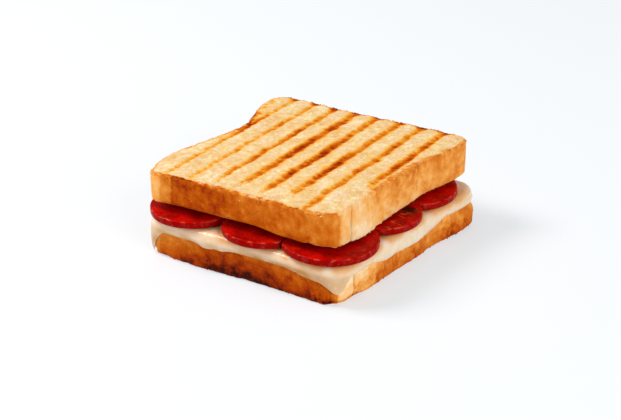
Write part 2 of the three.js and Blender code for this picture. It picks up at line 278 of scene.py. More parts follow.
def cloud(points, size, salt):
    """Soft noise from about -1 to 1: each corner of a point's cell gives a random slope times
    the offset from that corner, and the eight are blended by 6t^5 - 15t^4 + 10t^3."""
    place = points / size
    cell = np.floor(place).astype(np.int64)
    offset = place - cell
    ease = offset**3 * (offset * (offset * 6 - 15) + 10)
    total = np.zeros(len(points))
    for corner in np.ndindex(2, 2, 2):
        weight = np.prod(np.where(corner, ease, 1 - ease), axis=1)
        for axis in range(3):
            slope = scatter(cell + corner, salt * 7 + axis) * 2 - 1
            total += weight * slope * (offset[:, axis] - corner[axis])
    return total * 1.7


def pits(points, spacing, smallest, largest, share, salt):
    """Round pits, 0 outside and 1 at their middle. A share of the cells of a grid have one, at a
    random place and of a random radius; inside it the value is 1 - (distance / radius)^2."""
    cell = np.floor(points / spacing).astype(np.int64)
    deepest = np.zeros(len(points))
    for step in np.ndindex(3, 3, 3):
        near = cell + np.array(step) - 1
        centre = near + np.stack([scatter(near, salt * 11 + axis) for axis in range(3)], axis=-1)
        radius = smallest + (largest - smallest) * scatter(near, salt * 11 + 3)
        away = np.linalg.norm(points - centre * spacing, axis=1)
        depth = np.clip(1 - (away / radius) ** 2, 0, 1)
        deepest = np.maximum(deepest, np.where(scatter(near, salt * 11 + 4) < share, depth, 0))
    return deepest


# ---- Shapes: outlines ----

Line = namedtuple("Line", "points out walked length")


def with_directions(points):
    """A closed line with its outward directions (the chord past each point, turned a quarter
    clockwise) and the distance walked to each point."""
    chord = np.roll(points, -1, axis=0) - np.roll(points, 1, axis=0)
    out = np.stack([chord[:, 1], -chord[:, 0]], axis=1)
    out /= np.linalg.norm(out, axis=1, keepdims=True)
    steps = np.linalg.norm(np.roll(points, -1, axis=0) - points, axis=1)
    walked = np.concatenate([[0], np.cumsum(steps)[:-1]])
    return Line(points, out, walked, float(steps.sum()))


def crust_line(quarter, shift, widening, right_ear_radius, ear_flare):
    """The outline of a slice in four quarters of evenly spaced points, each from the middle of
    one corner to the middle of the next: front edge, right side, back edge, left side. The side
    crusts are eased runs of the depth, the corners quarter circles carried along them, and the
    whole line wanders in and out by a sine."""
    back_y = FRONT_Y + SLICE_DEPTH

    def side_x(y, side):
        run = RIGHT_CRUST if side > 0 else LEFT_CRUST
        share = np.clip((y - FRONT_Y) / SLICE_DEPTH, 0, 1)
        start, end = EAR_FLARE_RANGE
        flare = ear_flare * np.clip((share - start) / (end - start), 0, 1) if side > 0 else 0
        return shift + side * widening * eased_run(run, share) + flare

    def edge(x0, x1, y):
        return np.stack([np.linspace(x0, x1, SECTION_STEPS, endpoint=False),
                         np.full(SECTION_STEPS, y)], axis=1)

    def side_crust(y0, y1, side):
        y = np.linspace(y0, y1, SECTION_STEPS, endpoint=False)
        return np.stack([side_x(y, side), y], axis=1)

    def corner(corner_y, radius, start, side):
        turn = start + np.linspace(0, TURN / 4, SECTION_STEPS, endpoint=False)
        y = corner_y + radius * np.sin(turn)
        return np.stack([side_x(y, side) - side * radius + radius * np.cos(turn), y], axis=1)

    front_left = side_x(FRONT_Y, -1) + LEFT_HEEL_RADIUS
    front_right = side_x(FRONT_Y, 1) - RIGHT_HEEL_RADIUS
    heel_y = (FRONT_Y + LEFT_HEEL_RADIUS, FRONT_Y + RIGHT_HEEL_RADIUS)
    ear_y = (back_y - LEFT_EAR_RADIUS, back_y - right_ear_radius)
    line = with_directions(np.concatenate([
        edge(front_left, front_right, FRONT_Y),
        corner(heel_y[1], RIGHT_HEEL_RADIUS, -TURN / 4, 1),
        side_crust(heel_y[1], ear_y[1], 1),
        corner(ear_y[1], right_ear_radius, 0, 1),
        edge(side_x(back_y, 1) - right_ear_radius, side_x(back_y, -1) + LEFT_EAR_RADIUS, back_y),
        corner(ear_y[0], LEFT_EAR_RADIUS, TURN / 4, -1),
        side_crust(ear_y[0], heel_y[0], -1),
        corner(heel_y[0], LEFT_HEEL_RADIUS, TURN / 2, -1),
    ]))
    waves = round(line.length / CRUST_WAVE_LENGTH)
    wander = CRUST_WAVE * np.sin(TURN * waves * line.walked / line.length)
    line = with_directions(line.points + line.out * wander[:, None])

    corners = line.walked[SECTION_STEPS * np.array([1, 3, 5, 7]) + SECTION_STEPS // 2]
    starts = np.array([corners[3] - line.length, *corners])
    share = np.arange(quarter) / quarter
    walked = (starts[:-1, None] + np.diff(starts)[:, None] * share).ravel() % line.length
    closed = np.vstack([line.points, line.points[:1]])
    distances = np.append(line.walked, line.length)
    points = np.stack([np.interp(walked, distances, closed[:, k]) for k in (0, 1)], axis=1)
    return with_directions(points)._replace(walked=walked, length=line.length)


def set_in_box(line, node):
    """The line moved so that its middle is over the middle of a node's box."""
    low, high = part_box(node)
    middle = np.array([low.x + high.x, low.y + high.y]) / 2 / MM
    return line._replace(points=line.points + middle - (line.points.min(0) + line.points.max(0)) / 2)


# ---- Shapes: skins ----


def patch(ring, quarter):
    """The grid that fills a ring of four quarters: each inner point is the blend of the two
    edge points across plus the blend of the two along, less the blend of the four corners."""
    front, right = ring[:quarter + 1], ring[quarter:2 * quarter + 1]
    back = ring[2 * quarter:3 * quarter + 1][::-1]
    left = np.concatenate([ring[3 * quarter:], ring[:1]])[::-1]
    u = (np.arange(quarter + 1) / quarter)[:, None, None]
    v = (np.arange(quarter + 1) / quarter)[None, :, None]
    across = (1 - v) * front[:, None] + v * back[:, None]
    along = (1 - u) * left[None] + u * right[None]
    corners = ((1 - u) * (1 - v) * front[0] + u * (1 - v) * front[-1]
               + (1 - u) * v * back[0] + u * v * back[-1])
    return across + along - corners


def grid_border(quarter):
    """The indices, in a patch's grid, of the ring that it fills."""
    index = np.arange((quarter + 1) ** 2).reshape(quarter + 1, quarter + 1)
    return np.concatenate([index[:-1, 0], index[-1, :-1], index[:0:-1, -1], index[0, :0:-1]])


def grid_faces(quarter):
    """The quads of a patch's grid, turned anticlockwise."""
    index = np.arange((quarter + 1) ** 2).reshape(quarter + 1, quarter + 1)
    return np.stack([index[:-1, :-1], index[1:, :-1], index[1:, 1:], index[:-1, 1:]],
                    axis=-1).reshape(-1, 4)


def ring_faces(rings):
    """The quads between rings of indices: down a row, then along it."""
    here, after = rings, np.roll(rings, -1, axis=1)
    return np.stack([here[:-1], here[1:], after[1:], after[:-1]], axis=-1).reshape(-1, 4)


def fan_faces(ring, middle):
    """The triangles from a ring to a middle point."""
    return np.stack([ring, np.full(len(ring), middle), np.roll(ring, -1)], axis=-1)


def new_piece(name, points, quads, triangles, attributes, material, nodes, flip=False):
    """A finished piece: a smooth mesh in metres with its attributes and material."""
    faces = [quads[:, ::-1], triangles[:, ::-1]] if flip else [quads, triangles]
    mesh = bpy.data.meshes.new(name)
    mesh.from_pydata((points * MM).tolist(), [], faces[0].tolist() + faces[1].tolist())
    mesh.shade_smooth()
    for key, values in attributes.items():
        layer = mesh.attributes.new(key, "FLOAT", "POINT")
        layer.data.foreach_set("value", np.ascontiguousarray(values, dtype=np.float32))
    mesh.materials.append(material)
    mesh.update()
    piece = bpy.data.objects.new(name, mesh)
    bpy.context.scene.collection.objects.link(piece)
    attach(piece, "root")
    if nodes:
        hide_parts(*nodes)
    return piece


# ---- Slices of toast ----

Skin = namedtuple("Skin", "points normals drop walked height quads triangles")


def slice_skin(line, quarter, shown, hidden, lift, droop, rims):
    """The plain skin of a slice. The shown face is a grid. From its edge, rows go round a
    quarter circle, straight along the crust, round another quarter circle and over the hidden
    face to its middle. lift moves the hidden face's edge away, droop the shown face's edge.
    drop is the distance from the shown face's edge, below 0 on that face; height is 0 at the
    hidden face and 1 at the shown one."""
    looks = np.sign(shown - hidden)
    count = 4 * quarter
    turns = np.linspace(TURN / 4, 0, RIM_ROWS)
    shown_radius, hidden_radius = rims
    shown_rim = shown - looks * (droop(line.points) + shown_radius)
    hidden_rim = hidden + looks * (lift + hidden_radius)
    spacing = line.length / count
    crust_rows = int(np.ceil(np.abs(shown - hidden) / spacing)) - RIM_ROWS

    rows = []  # (inset, height, turn of the normal up from level)
    for turn in turns:
        rows.append((shown_radius * (1 - np.cos(turn)),
                     shown_rim + looks * shown_radius * np.sin(turn), turn))
    for share in np.arange(1, crust_rows) / crust_rows:
        rows.append((0.0, shown_rim + (hidden_rim - shown_rim) * share, 0.0))
    for turn in -turns[::-1]:
        rows.append((hidden_radius * (1 - np.cos(turn)),
                     hidden_rim + looks * hidden_radius * np.sin(turn), turn))

    inset = np.array([row[0] for row in rows])[:, None, None]
    plan = line.points - line.out * inset
    heights = np.stack([np.broadcast_to(row[1], count) for row in rows])
    level = np.array([np.cos(row[2]) for row in rows])[:, None, None]
    rise = np.array([np.sin(row[2]) for row in rows])[:, None, None] * looks
    normals = np.concatenate([line.out * level, np.broadcast_to(rise, (len(rows), count, 1))],
                             axis=2)
    side = np.concatenate([plan, heights[..., None]], axis=2)

    grid = patch(side[0][:, :2], quarter)
    edges = [np.linalg.norm(grid - other, axis=2)
             for other in (grid[:1], grid[-1:], grid[:, :1], grid[:, -1:])]
    away = np.min(edges, axis=0).ravel()
    grid = grid.reshape(-1, 2)
    face = np.column_stack([grid, shown - looks * droop(grid)])

    middle = line.points.mean(axis=0)
    shares = (np.arange(1, HIDDEN_ROWS + 1) / HIDDEN_ROWS)[:, None, None]
    flat_ring = middle + (line.points - middle) * HIDDEN_SCALE
    under_plan = side[-1][:, :2] * (1 - shares) + flat_ring * shares
    under_height = hidden + looks * lift * (1 - shares[..., 0]) ** 2
    under = np.concatenate([under_plan, under_height[..., None]], axis=2)

    points = np.vstack([face, side[1:].reshape(-1, 3), under.reshape(-1, 3), [[*middle, hidden]]])
    up = np.array([0, 0, looks])
    normals = np.vstack([np.tile(up, (len(face), 1)), normals[1:].reshape(-1, 3),
                         np.tile(-up, (count * HIDDEN_ROWS + 1, 1))])
    rows_down = np.cumsum([0, *np.linalg.norm(np.diff(side, axis=0), axis=2).mean(axis=1)])
    drop = np.concatenate([-away, np.repeat(rows_down[1:], count),
                           np.full(count * HIDDEN_ROWS + 1, rows_down[-1] + 1)])
    turn_back = np.concatenate([grid_walked(line, quarter), np.tile(line.walked, len(rows) - 1),
                                np.tile(line.walked, HIDDEN_ROWS), [0]])
    height = np.clip((points[:, 2] - hidden) / (shown - hidden), 0, 1)

    ring_start = len(face) + count * np.arange(len(rows) - 1 + HIDDEN_ROWS)[:, None]
    rings = np.vstack([grid_border(quarter), ring_start + np.arange(count)])
    quads = np.vstack([grid_faces(quarter), ring_faces(rings)])
    triangles = fan_faces(rings[-1], len(points) - 1)
    return Skin(points, normals, drop, turn_back, height, quads, triangles)


def grid_walked(line, quarter):
    """For each point of a patch's grid, the walked distance of the nearest of its four edges."""
    n = quarter + 1
    front, right = line.walked[:n], line.walked[quarter:quarter + n]
    back = line.walked[2 * quarter:2 * quarter + n][::-1]
    left = np.append(line.walked[3 * quarter:], line.walked[0])[::-1]
    share = np.arange(n) / quarter
    distances = np.stack(np.broadcast_arrays(share[None], 1 - share[:, None],
                                             1 - share[None], share[:, None]))
    values = np.stack([np.broadcast_to(front[:, None], (n, n)), np.broadcast_to(right, (n, n)),
                       np.broadcast_to(back[:, None], (n, n)), np.broadcast_to(left, (n, n))])
    nearest = np.argmin(distances, axis=0)[None]
    return np.take_along_axis(values, nearest, axis=0).ravel()


def grill_marks(points, centre_x, back_y, marks):
    """How scorched each point of a face is, and how deep its rib pressed. Each mark is a band
    whose middle wanders; its darkness along the slice is its browning plus bell curves, and
    across it falls off from a ragged core to a soft halo."""
    scorch = np.zeros(len(points))
    trough = np.zeros(len(points))
    from_back = back_y - points[:, 1]
    ragged = cloud(points, 1.4, 21) + 0.9 * cloud(points, 2.7, 22)
    blotchy = 0.12 * cloud(points, 2.4, 27)
    halo_patches = cloud(points, 5.5, 28)
    edge_size, edge_reach = BACK_EDGE_SCORCH
    at_back = np.exp(-((from_back / edge_reach) ** 2))
    for index, mark in enumerate(marks):
        middle = centre_x + RIB_OFFSET + (index - (len(marks) - 1) / 2) * RIB_PITCH
        line = np.column_stack([np.full(len(points), 37.0 * index), points[:, 1],
                                np.zeros(len(points))])
        wander = 0.6 * cloud(line, 11, 23) + 0.5 * cloud(line, 4, 24)
        across = (points[:, 0] - middle - wander) / (1 + BACK_EDGE_FLARE * at_back)
        away = np.abs(across)
        along = mark.browning + blotchy + 0.10 * cloud(line, 6, 25) + 0.14 * cloud(line, 2.6, 26)
        for at, size, spread in mark.scorches:
            along = along + size * np.exp(-(((from_back - at) / spread) ** 2))
        along = along + edge_size * at_back
        ending = 1 - smooth(mark.ends - 10, mark.ends + 3, from_back + 3 * ragged)
        core = 1 - smooth(0.1 * mark.width, 1.4 * mark.width, away + 0.8 * ragged)
        halo_reach = 1.8 * mark.width + 0.9 * ragged + 0.5 * halo_patches
        halo = np.exp(-(((across + HALO_SHIFT) / np.maximum(halo_reach, 1.0)) ** 2))
        scorch = np.maximum(scorch, np.clip(along, 0, 1) * ending * (0.6 * core + 0.44 * halo))
        trough = np.maximum(trough, ending * (1 - smooth(0.6, 2.4, away + 0.4 * ragged)))
    return scorch, trough


def crumb_relief(points, pore_depth):
    """The depth of a crumb face below the plain one, its grain from 0 in the hollows to 1 on the
    tops, and its pores: soft unevenness, three sizes of grains and two of pits, all stronger in
    some patches than in others."""
    patches = smooth(-0.5, 0.5, cloud(points, 7, 37))
    large = pits(points, 2.8, 0.35, 0.85, 0.25, 31) * (0.4 + 0.6 * patches)
    small = pits(points, 1.9, 0.25, 0.5, 0.3, 32)
    grains = (0.6 * cloud(points, 3.3, 33) + 0.5 * cloud(points, 1.7, 34)
              + 0.5 * cloud(points, 1.0, 36)) * (0.55 + 0.65 * patches)
    depth = 0.2 + 0.08 * cloud(points, 13, 35) - 0.12 * grains + pore_depth * large + 0.2 * small
    return depth, np.clip(0.5 + 0.55 * grains, 0, 1), np.maximum(large, small)


def crust_relief(points, lumps):
    """The depth of a crust below the plain one, and its grain from 0 in the hollows to 1 on the
    tops. Slow swells lie under smooth stretches and rough ones; the rough ones have lumps, pits,
    and cracks along the lines where a cloud changes sign, each as strong as told."""
    patches = smooth(-0.2, 0.5, cloud(points, 8, 40))
    rough = (0.3 + 0.9 * patches) * lumps
    grains = rough * (0.55 * cloud(points, 3.4, 41) + 0.5 * cloud(points, 1.8, 42)
                      + 0.35 * cloud(points, 1.0, 45))
    pit = pits(points, 2.6, 0.25, 0.65, 0.3, 44) * patches * np.minimum(lumps, 1)
    crack = (smooth(0.06, 0.0, np.abs(cloud(points * [1, 1, 0.7], 4.4, 46)))
             * smooth(0.1, 0.35, cloud(points, 9, 47)) * lumps)
    depth = 0.3 + 0.2 * cloud(points, 13, 48) + 0.12 * cloud(points * [1, 1, 0.5], 6, 49)
    depth = depth - 0.15 * grains + 0.3 * crack + 0.3 * pit
    return depth, np.clip(0.5 + 0.5 * grains - 0.5 * crack - 0.4 * pit, 0, 1)


Toasting = namedtuple("Toasting", "bake rise level rim_start softness rim_bake rim_scorch "
                                  "rim_reach lumps fringe ragged belly flare rounding creases")
# A crease's darkness is how much shade is painted into its groove.
Crease = namedtuple("Crease", "at lean depth width darkness")

# Each run goes round the slice by the distance walked. bake: how brown the crust is at a level;
# rise: how much browner it gets from the hidden edge to the shown one; level: the height where
# neither counts; rim_start: how far past the shown face's edge the crust begins, softness: over
# how much it does, and rim_bake: how brown it is there; rim_scorch and rim_reach: how scorched
# the face is along its edge, and how far in; lumps: how lumpy the crust is; fringe: how much
# pale crumb shows at the hidden edge; belly: how far the crust bulges out below the shown face's
# edge; flare: how far it stands out at the hidden one; rounding: how much of the shown face's
# edge is worn off. ragged is how uneven that edge is.
UPPER_TOASTING = Toasting(
    bake=((0, 0.30), (1.5, 0.36), (2.5, 0.46), (7.2, 0.52), (8.4, 0.70), (10, 0.75), (20, 0.76),
          (29, 0.78), (37, 0.65), (60, 0.62), (72, 0.63), (78, 0.53), (84, 0.60), (88, 0.46),
          (91.5, 0.15), (96, 0.14), (102, 0.06), (108, 0.16), (120, 0.28), (150, 0.31),
          (162, 0.36), (174, 0.38), (184, 0.30), (215, 0.40), (260, 0.42), (285, 0.34),
          (330, 0.36), (366, 0.34), (375, 0.30), (380, 0.27), (384, 0.30), (386, 0.32)),
    rise=((0, -0.05), (86, -0.08), (94, 0.16), (130, 0.25), (160, 0.1), (180, 0.0), (270, 0.15),
          (372, 0.15), (386, -0.05)),
    level=0.45,
    rim_start=((0, -0.3), (12, -0.6), (40, -0.2), (66, -0.4), (76, -1.8), (85, -1.8), (91, 0.6),
               (102, 0.8), (112, -0.8), (130, -2.0), (152, -1.6), (172, -0.8), (184, -0.4),
               (200, 0.5), (372, 0.4), (380, -0.4), (386, -0.3)),
    softness=((0, 0.7), (66, 0.8), (84, 1.5), (92, 3.0), (104, 2.4), (116, 1.0), (372, 0.8),
              (380, 1.4), (386, 0.7)),
    rim_bake=((0, 0.46), (7, 0.5), (9.5, 0.86), (13, 0.9), (18, 0.84), (22, 0.5), (40, 0.46),
              (56, 0.56), (70, 0.52), (84, 0.44), (91, 0.12), (104, 0.08), (112, 0.30),
              (130, 0.42), (178, 0.42), (200, 0.5), (300, 0.45), (370, 0.35), (380, 0.32),
              (386, 0.46)),
    rim_scorch=((0, 0.35), (7, 0.4), (10, 0.65), (17, 0.65), (22, 0.34), (30, 0.3), (56, 0.3),
                (72, 0.42), (86, 0.3), (92, 0.1), (104, 0.05), (115, 0.22), (150, 0.32),
                (178, 0.38), (186, 0.3), (196, 0.6), (240, 0.66), (280, 0.6), (290, 0.34),
                (303, 0.34), (309, 0.7), (327, 0.75), (334, 0.32), (350, 0.28), (370, 0.24),
                (378, 0.3), (386, 0.35)),
    rim_reach=((0, 0.9), (66, 0.9), (78, 1.5), (90, 1.0), (180, 0.9), (192, 1.0), (280, 1.2),
               (291, 5.0), (303, 4.2), (311, 2.6), (327, 2.6), (337, 2.3), (360, 2.0),
               (376, 1.2), (386, 0.9)),
    lumps=((0, 0.7), (60, 0.8), (88, 0.5), (104, 0.5), (130, 1.0), (180, 0.8), (300, 1.0),
           (386, 0.7)),
    fringe=((0, 0.1), (66, 0.1), (76, 0.8), (92, 0.9), (104, 0.5), (130, 0.3), (200, 0.3),
            (386, 0.1)),
    ragged=1.0,
    belly=((0, 0), (386, 0)),
    flare=((0, 0), (86, 0), (92, 0.5), (97, 1.3), (103, 2.0), (109, 1.7), (118, 0.9), (128, 0.6),
           (140, 0.3), (154, 0), (386, 0)),
    rounding=((0, 0), (386, 0)),
    creases=(Crease(96.6, 2.6, 0.7, 0.6, 0.55), Crease(8.6, 0.6, 0.4, 0.5, 0.2),
             Crease(74.5, 0.5, 0.4, 1.6, 0.0), Crease(83.5, -1.0, 0.5, 1.8, 0.1),
             Crease(36.0, 0.0, 0.3, 1.2, 0.0)),
)
LOWER_TOASTING = Toasting(
    bake=((0, 0.58), (4, 0.64), (12, 0.69), (18, 0.76), (26, 0.84), (36, 0.87), (50, 0.84),
          (60, 0.80), (72, 0.77), (84, 0.75), (86.5, 0.48), (88, 0.10), (95, 0.08), (97.2, 0.26),
          (104, 0.28), (110, 0.34), (114, 0.46), (126, 0.49), (144, 0.50), (152, 0.46),
          (160, 0.50), (168, 0.56), (176, 0.62), (182, 0.59), (200, 0.52), (240, 0.50),
          (290, 0.46), (350, 0.45), (380, 0.38), (385, 0.30), (390, 0.42), (394, 0.46)),
    rise=((0, 0.5), (394, 0.5)),
    level=0.60,
    rim_start=((0, -3.0), (8, -1.5), (20, -0.5), (80, -0.5), (86, -4.5), (98, -4.5), (107, -1.0),
               (120, -0.5), (380, -0.5), (388, -3.0), (394, -3.0)),
    softness=((0, 0.8), (394, 0.8)),
    rim_bake=((0, 0.75), (14, 0.92), (36, 1.0), (60, 0.95), (84, 0.8), (90, 0.24), (95, 0.24),
              (99, 0.5), (110, 0.6), (180, 0.65), (380, 0.65), (394, 0.75)),
    rim_scorch=((0, 0.5), (36, 0.8), (60, 0.7), (90, 0.4), (394, 0.5)),
    rim_reach=((0, 1.2), (394, 1.2)),
    lumps=((0, 0.8), (85, 0.9), (100, 1.2), (180, 1.4), (300, 1.0), (386, 0.8)),
    fringe=((0, 0.0), (394, 0.0)),
    ragged=0.45,
    belly=((0, 0), (150, 0), (172, 0.8), (184, 1.6), (194, 1.2), (215, 0.2), (230, 0), (394, 0)),
    flare=((0, 0), (394, 0)),
    rounding=((0, 1.0), (8, 0.3), (20, 0), (80, 0), (87, 1.7), (98, 1.7), (106, 0.4), (120, 0),
              (380, 0), (390, 0.9), (394, 1.0)),
    creases=(Crease(96.6, 0.0, 0.9, 0.5, 0.5), Crease(84.5, -3.0, 0.5, 0.9, 0.2),
             Crease(167.0, 0.0, 0.7, 0.8, 0.4), Crease(14.0, 0.0, 0.5, 0.8, 0.2)),
)


def scorching(skin, marks, centre_x, back_y, toasting):
    """How scorched a slice is, by the grill's ribs and along the shown face's edge, and how deep
    the ribs pressed into it."""
    points = skin.points
    scorch, trough = grill_marks(points, centre_x, back_y, marks)
    reach = eased_run(toasting.rim_reach, skin.walked) * (1 + 0.5 * cloud(points, 3.5, 60))
    rim_scorch = np.exp(-(((skin.drop - 0.3) / np.maximum(reach, 0.3)) ** 2))
    rim_scorch *= eased_run(toasting.rim_scorch, skin.walked) * (0.85 + 0.7 * cloud(points, 2.2, 50))
    return np.maximum(scorch * (1 - smooth(1.5, 4.5, skin.drop)), rim_scorch), trough


def creased(depth, skin, length, creases):
    """A crust's depth with its creases cut in, and how much shade is painted into them. Each crease
    is a bell curve across a line that leans from upright."""
    crease_shade = np.zeros(len(skin.points))
    for crease in creases:
        away = np.abs(skin.walked - crease.at - crease.lean * (skin.height - 0.5))
        away = np.minimum(away, length - away) + 0.25 * cloud(skin.points, 3, 53)
        cut = np.exp(-((away / crease.width) ** 2)) * (skin.drop > 0)
        depth = depth + crease.depth * cut
        crease_shade = np.maximum(crease_shade, crease.darkness * cut)
    return depth, crease_shade


def browning(skin, walked, past_start, toasting):
    """How brown a crust is: its run round the slice plus clouds of two sizes and its rise, joined
    to the edge's own run over the first few millimetres, with drips down from the edge."""
    points = skin.points
    drips = cloud(points * [1, 1, 0.25], 1.6, 55) * np.exp(-np.clip(skin.drop - 1, 0, None) / 2.5)
    drips = drips * toasting.ragged
    bake = eased_run(toasting.bake, walked) + 0.12 * cloud(points, 7, 56) + 0.07 * cloud(points, 3, 53)
    bake = bake + eased_run(toasting.rise, skin.walked) * (skin.height - toasting.level)
    rim_bake = eased_run(toasting.rim_bake, skin.walked) + 0.12 * cloud(points, 1.8, 62)
    bake = rim_bake + (bake - rim_bake) * smooth(0.0, 2.4, past_start)
    return bake + 0.12 * drips * (skin.drop > 0)


def toast_skin(line, quarter, shown, hidden, lift, droop, rims, toasting, marks, centre_x,
               pore_depth):
    """A slice's skin with its relief, and the attributes that its finish is painted by."""
    skin = slice_skin(line, quarter, shown, hidden, lift, droop, rims)
    points, on_side = skin.points, skin.drop > 0
    end = skin.drop.max() - 1
    jag = 0.9 * cloud(points, 1.6, 51) + 0.9 * cloud(points, 3.2, 63) + 1.0 * cloud(points, 6.5, 52)
    walked = skin.walked + on_side * 0.9 * cloud(points * [1, 1, 0.35], 2.6, 58)
    past_start = skin.drop + jag - eased_run(toasting.rim_start, skin.walked)
    softness = eased_run(toasting.softness, skin.walked)
    crust = smooth(-1.0, 1.0, past_start / softness)
    crust_end = end - 2.2 * eased_run(toasting.fringe, skin.walked)
    crust = crust * (1 - smooth(crust_end, crust_end + 1.4, skin.drop + 0.5 * jag))

    scorch, trough = scorching(skin, marks, centre_x, line.points[:, 1].max(), toasting)
    on_face = 1 - smooth(-0.5, 1.5, skin.drop)
    crumb_depth, crumb_grain, pore = crumb_relief(points, pore_depth)
    crust_depth, crust_grain = crust_relief(points, eased_run(toasting.lumps, skin.walked))
    crust_depth, crease_shade = creased(crust_depth, skin, line.length, toasting.creases)
    side = smooth(0, 2.2, skin.drop)
    hidden_edge = smooth(0.16, 0.0, skin.height) * on_side
    ragged = 0.5 * cloud(points, 2.4, 54) + 0.45 * cloud(points, 1.3, 61)
    crust_depth = crust_depth + hidden_edge * (0.35 + ragged)
    brink = np.exp(-(((skin.drop - 0.8) / 1.5) ** 2))
    depth = crumb_depth + (crust_depth - crumb_depth) * side + on_face * trough * RIB_DEPTH
    uneven = 0.25 * cloud(points, 1.6, 57) + 0.3 * cloud(points, 3.6, 59)
    depth = depth + brink * (0.1 + toasting.ragged * uneven)
    worn = np.exp(-(((skin.drop - 0.6) / 2.4) ** 2))
    depth = depth + eased_run(toasting.rounding, skin.walked) * worn
    belly = eased_run(toasting.belly, skin.walked) * smooth(0.2, 0.5, skin.height)
    belly = belly * smooth(1.0, 0.85, skin.height) * on_side
    flare = eased_run(toasting.flare, skin.walked) * smooth(0.85, 0.1, skin.height) * on_side
    points = points - skin.normals * (np.clip(depth, 0.05, 2.2) - belly)[:, None]
    points = points + skin.normals * [1, 1, 0] * flare[:, None]

    skin = skin._replace(points=points)
    bake = browning(skin, walked, past_start, toasting)
    pale = eased_run(toasting.fringe, skin.walked) * on_side
    pale = pale * smooth(0.15, 0.02, skin.height + 0.09 * jag)
    attributes = {
        "crust": crust,
        "grill": np.clip(scorch, 0, 1),
        "bake": np.clip(bake * (1 - 0.75 * pale), 0, 1),
        "pore": pore * (1 - crust),
        "grain": crumb_grain + (crust_grain - crumb_grain) * side,
        "crease_shade": crease_shade,
        "edge": brink - hidden_edge,
        "face": on_face,
    }
    return skin, attributes


# ---- Finishes ----


class Paint:
    """A material's nodes, added and joined one by one."""

    def __init__(self, name):
        self.material = bpy.data.materials.new(name)
        self.material.use_nodes = True
        self.tree = self.material.node_tree
        self.shader = self.tree.nodes["Principled BSDF"]
        self.coordinates = self.add("TexCoord").outputs["Object"]

    def add(self, kind, **settings):
        node = self.tree.nodes.new("ShaderNode" + kind)
        for key, value in settings.items():
            setattr(node, key, value)
        return node

    def put(self, value, socket):
        """Joins an output to a socket, or sets the socket to a plain value."""
        if isinstance(value, bpy.types.NodeSocket):
            self.tree.links.new(value, socket)
        elif hasattr(socket.default_value, "__len__") and len(socket.default_value) == 4:
            socket.default_value = (*value, 1)
        else:
            socket.default_value = value

    def attribute(self, name):
        return self.add("Attribute", attribute_name=name).outputs["Fac"]

    def maths(self, operation, a, b):
        node = self.add("Math", operation=operation)
        self.put(a, node.inputs[0])
        self.put(b, node.inputs[1])
        return node.outputs[0]

    def times(self, a, b):
        """The product of two values."""
        return self.maths("MULTIPLY", a, b)

    def total(self, first, *others):
        """The sum of two or more values."""
        for other in others:
            first = self.maths("ADD", first, other)
        return first

    def noise(self, size, detail, rough=0.55):
        """Noise about 0.5 whose largest grains are about the size, in millimetres."""
        node = self.add("TexNoise")
        self.put(self.coordinates, node.inputs["Vector"])
        node.inputs["Scale"].default_value = 1 / (size * MM)
        node.inputs["Detail"].default_value = detail
        node.inputs["Roughness"].default_value = rough
        return node.outputs["Fac"]

    def cells(self, size):
        """The distance to the nearest of points scattered about a size apart, in millimetres."""
        node = self.add("TexVoronoi")
        self.put(self.coordinates, node.inputs["Vector"])
        node.inputs["Scale"].default_value = 1 / (size * MM)
        return node.outputs["Distance"]

    def span(self, value, low, high, to_low=0.0, to_high=1.0):
        """A value carried evenly from one span to another, and held at its ends."""
        node = self.add("MapRange", clamp=True)
        for key, number in (("From Min", low), ("From Max", high), ("To Min", to_low),
                            ("To Max", to_high)):
            node.inputs[key].default_value = number
        self.put(value, node.inputs["Value"])
        return node.outputs[0]

    def ramp(self, value, stops):
        """Colours along a value: stops of (place, linear colour)."""
        node = self.add("ValToRGB")
        elements = node.color_ramp.elements
        while len(elements) < len(stops):
            elements.new(1.0)
        for element, (place, tint) in zip(elements, stops):
            element.position = place
            element.color = (*tint, 1)
        self.put(value, node.inputs["Fac"])
        return node.outputs["Color"]

    def mix(self, share, a, b):
        """A colour between two, by a share."""
        node = self.add("Mix", data_type="RGBA")
        self.put(share, node.inputs["Factor"])
        self.put(a, node.inputs[6])
        self.put(b, node.inputs[7])
        return node.outputs[2]

    def mix_value(self, share, a, b):
        """A number between two, by a share."""
        node = self.add("Mix", data_type="FLOAT")
        self.put(share, node.inputs["Factor"])
        self.put(a, node.inputs[2])
        self.put(b, node.inputs[3])
        return node.outputs[0]

    def bump(self, height, distance, strength, after=None):
        """A bump of a height from 0 to 1, as deep as the distance in millimetres."""
        node = self.add("Bump")
        node.inputs["Distance"].default_value = distance * MM
        node.inputs["Strength"].default_value = strength
        self.put(height, node.inputs["Height"])
        if after is not None:
            self.put(after, node.inputs["Normal"])
        return node.outputs["Normal"]

    def finish(self, **sockets):
        """The material, with the shader's inputs given by name."""
        for key, value in sockets.items():
            self.put(value, self.shader.inputs[key.replace("_", " ")])
        return self.material


def crust_tints(settings):
    """The colours of a crust, from crumb to burnt."""
    return ((0.0, colour(0xFADEB0)), (0.1, tuple(settings.pale_crust)), (0.2, colour(0xF6B86C)),
            (0.3, colour(0xF2A44C)), (0.4, colour(0xE48E38)), (0.5, colour(0xD77A22)),
            (0.6, colour(0xCB640E)), (0.7, tuple(settings.deep_crust)), (0.8, colour(0xAA3D00)),
            (0.88, colour(0x902C00)), (0.94, colour(0x701E03)), (1.0, colour(0x3C0E06)))


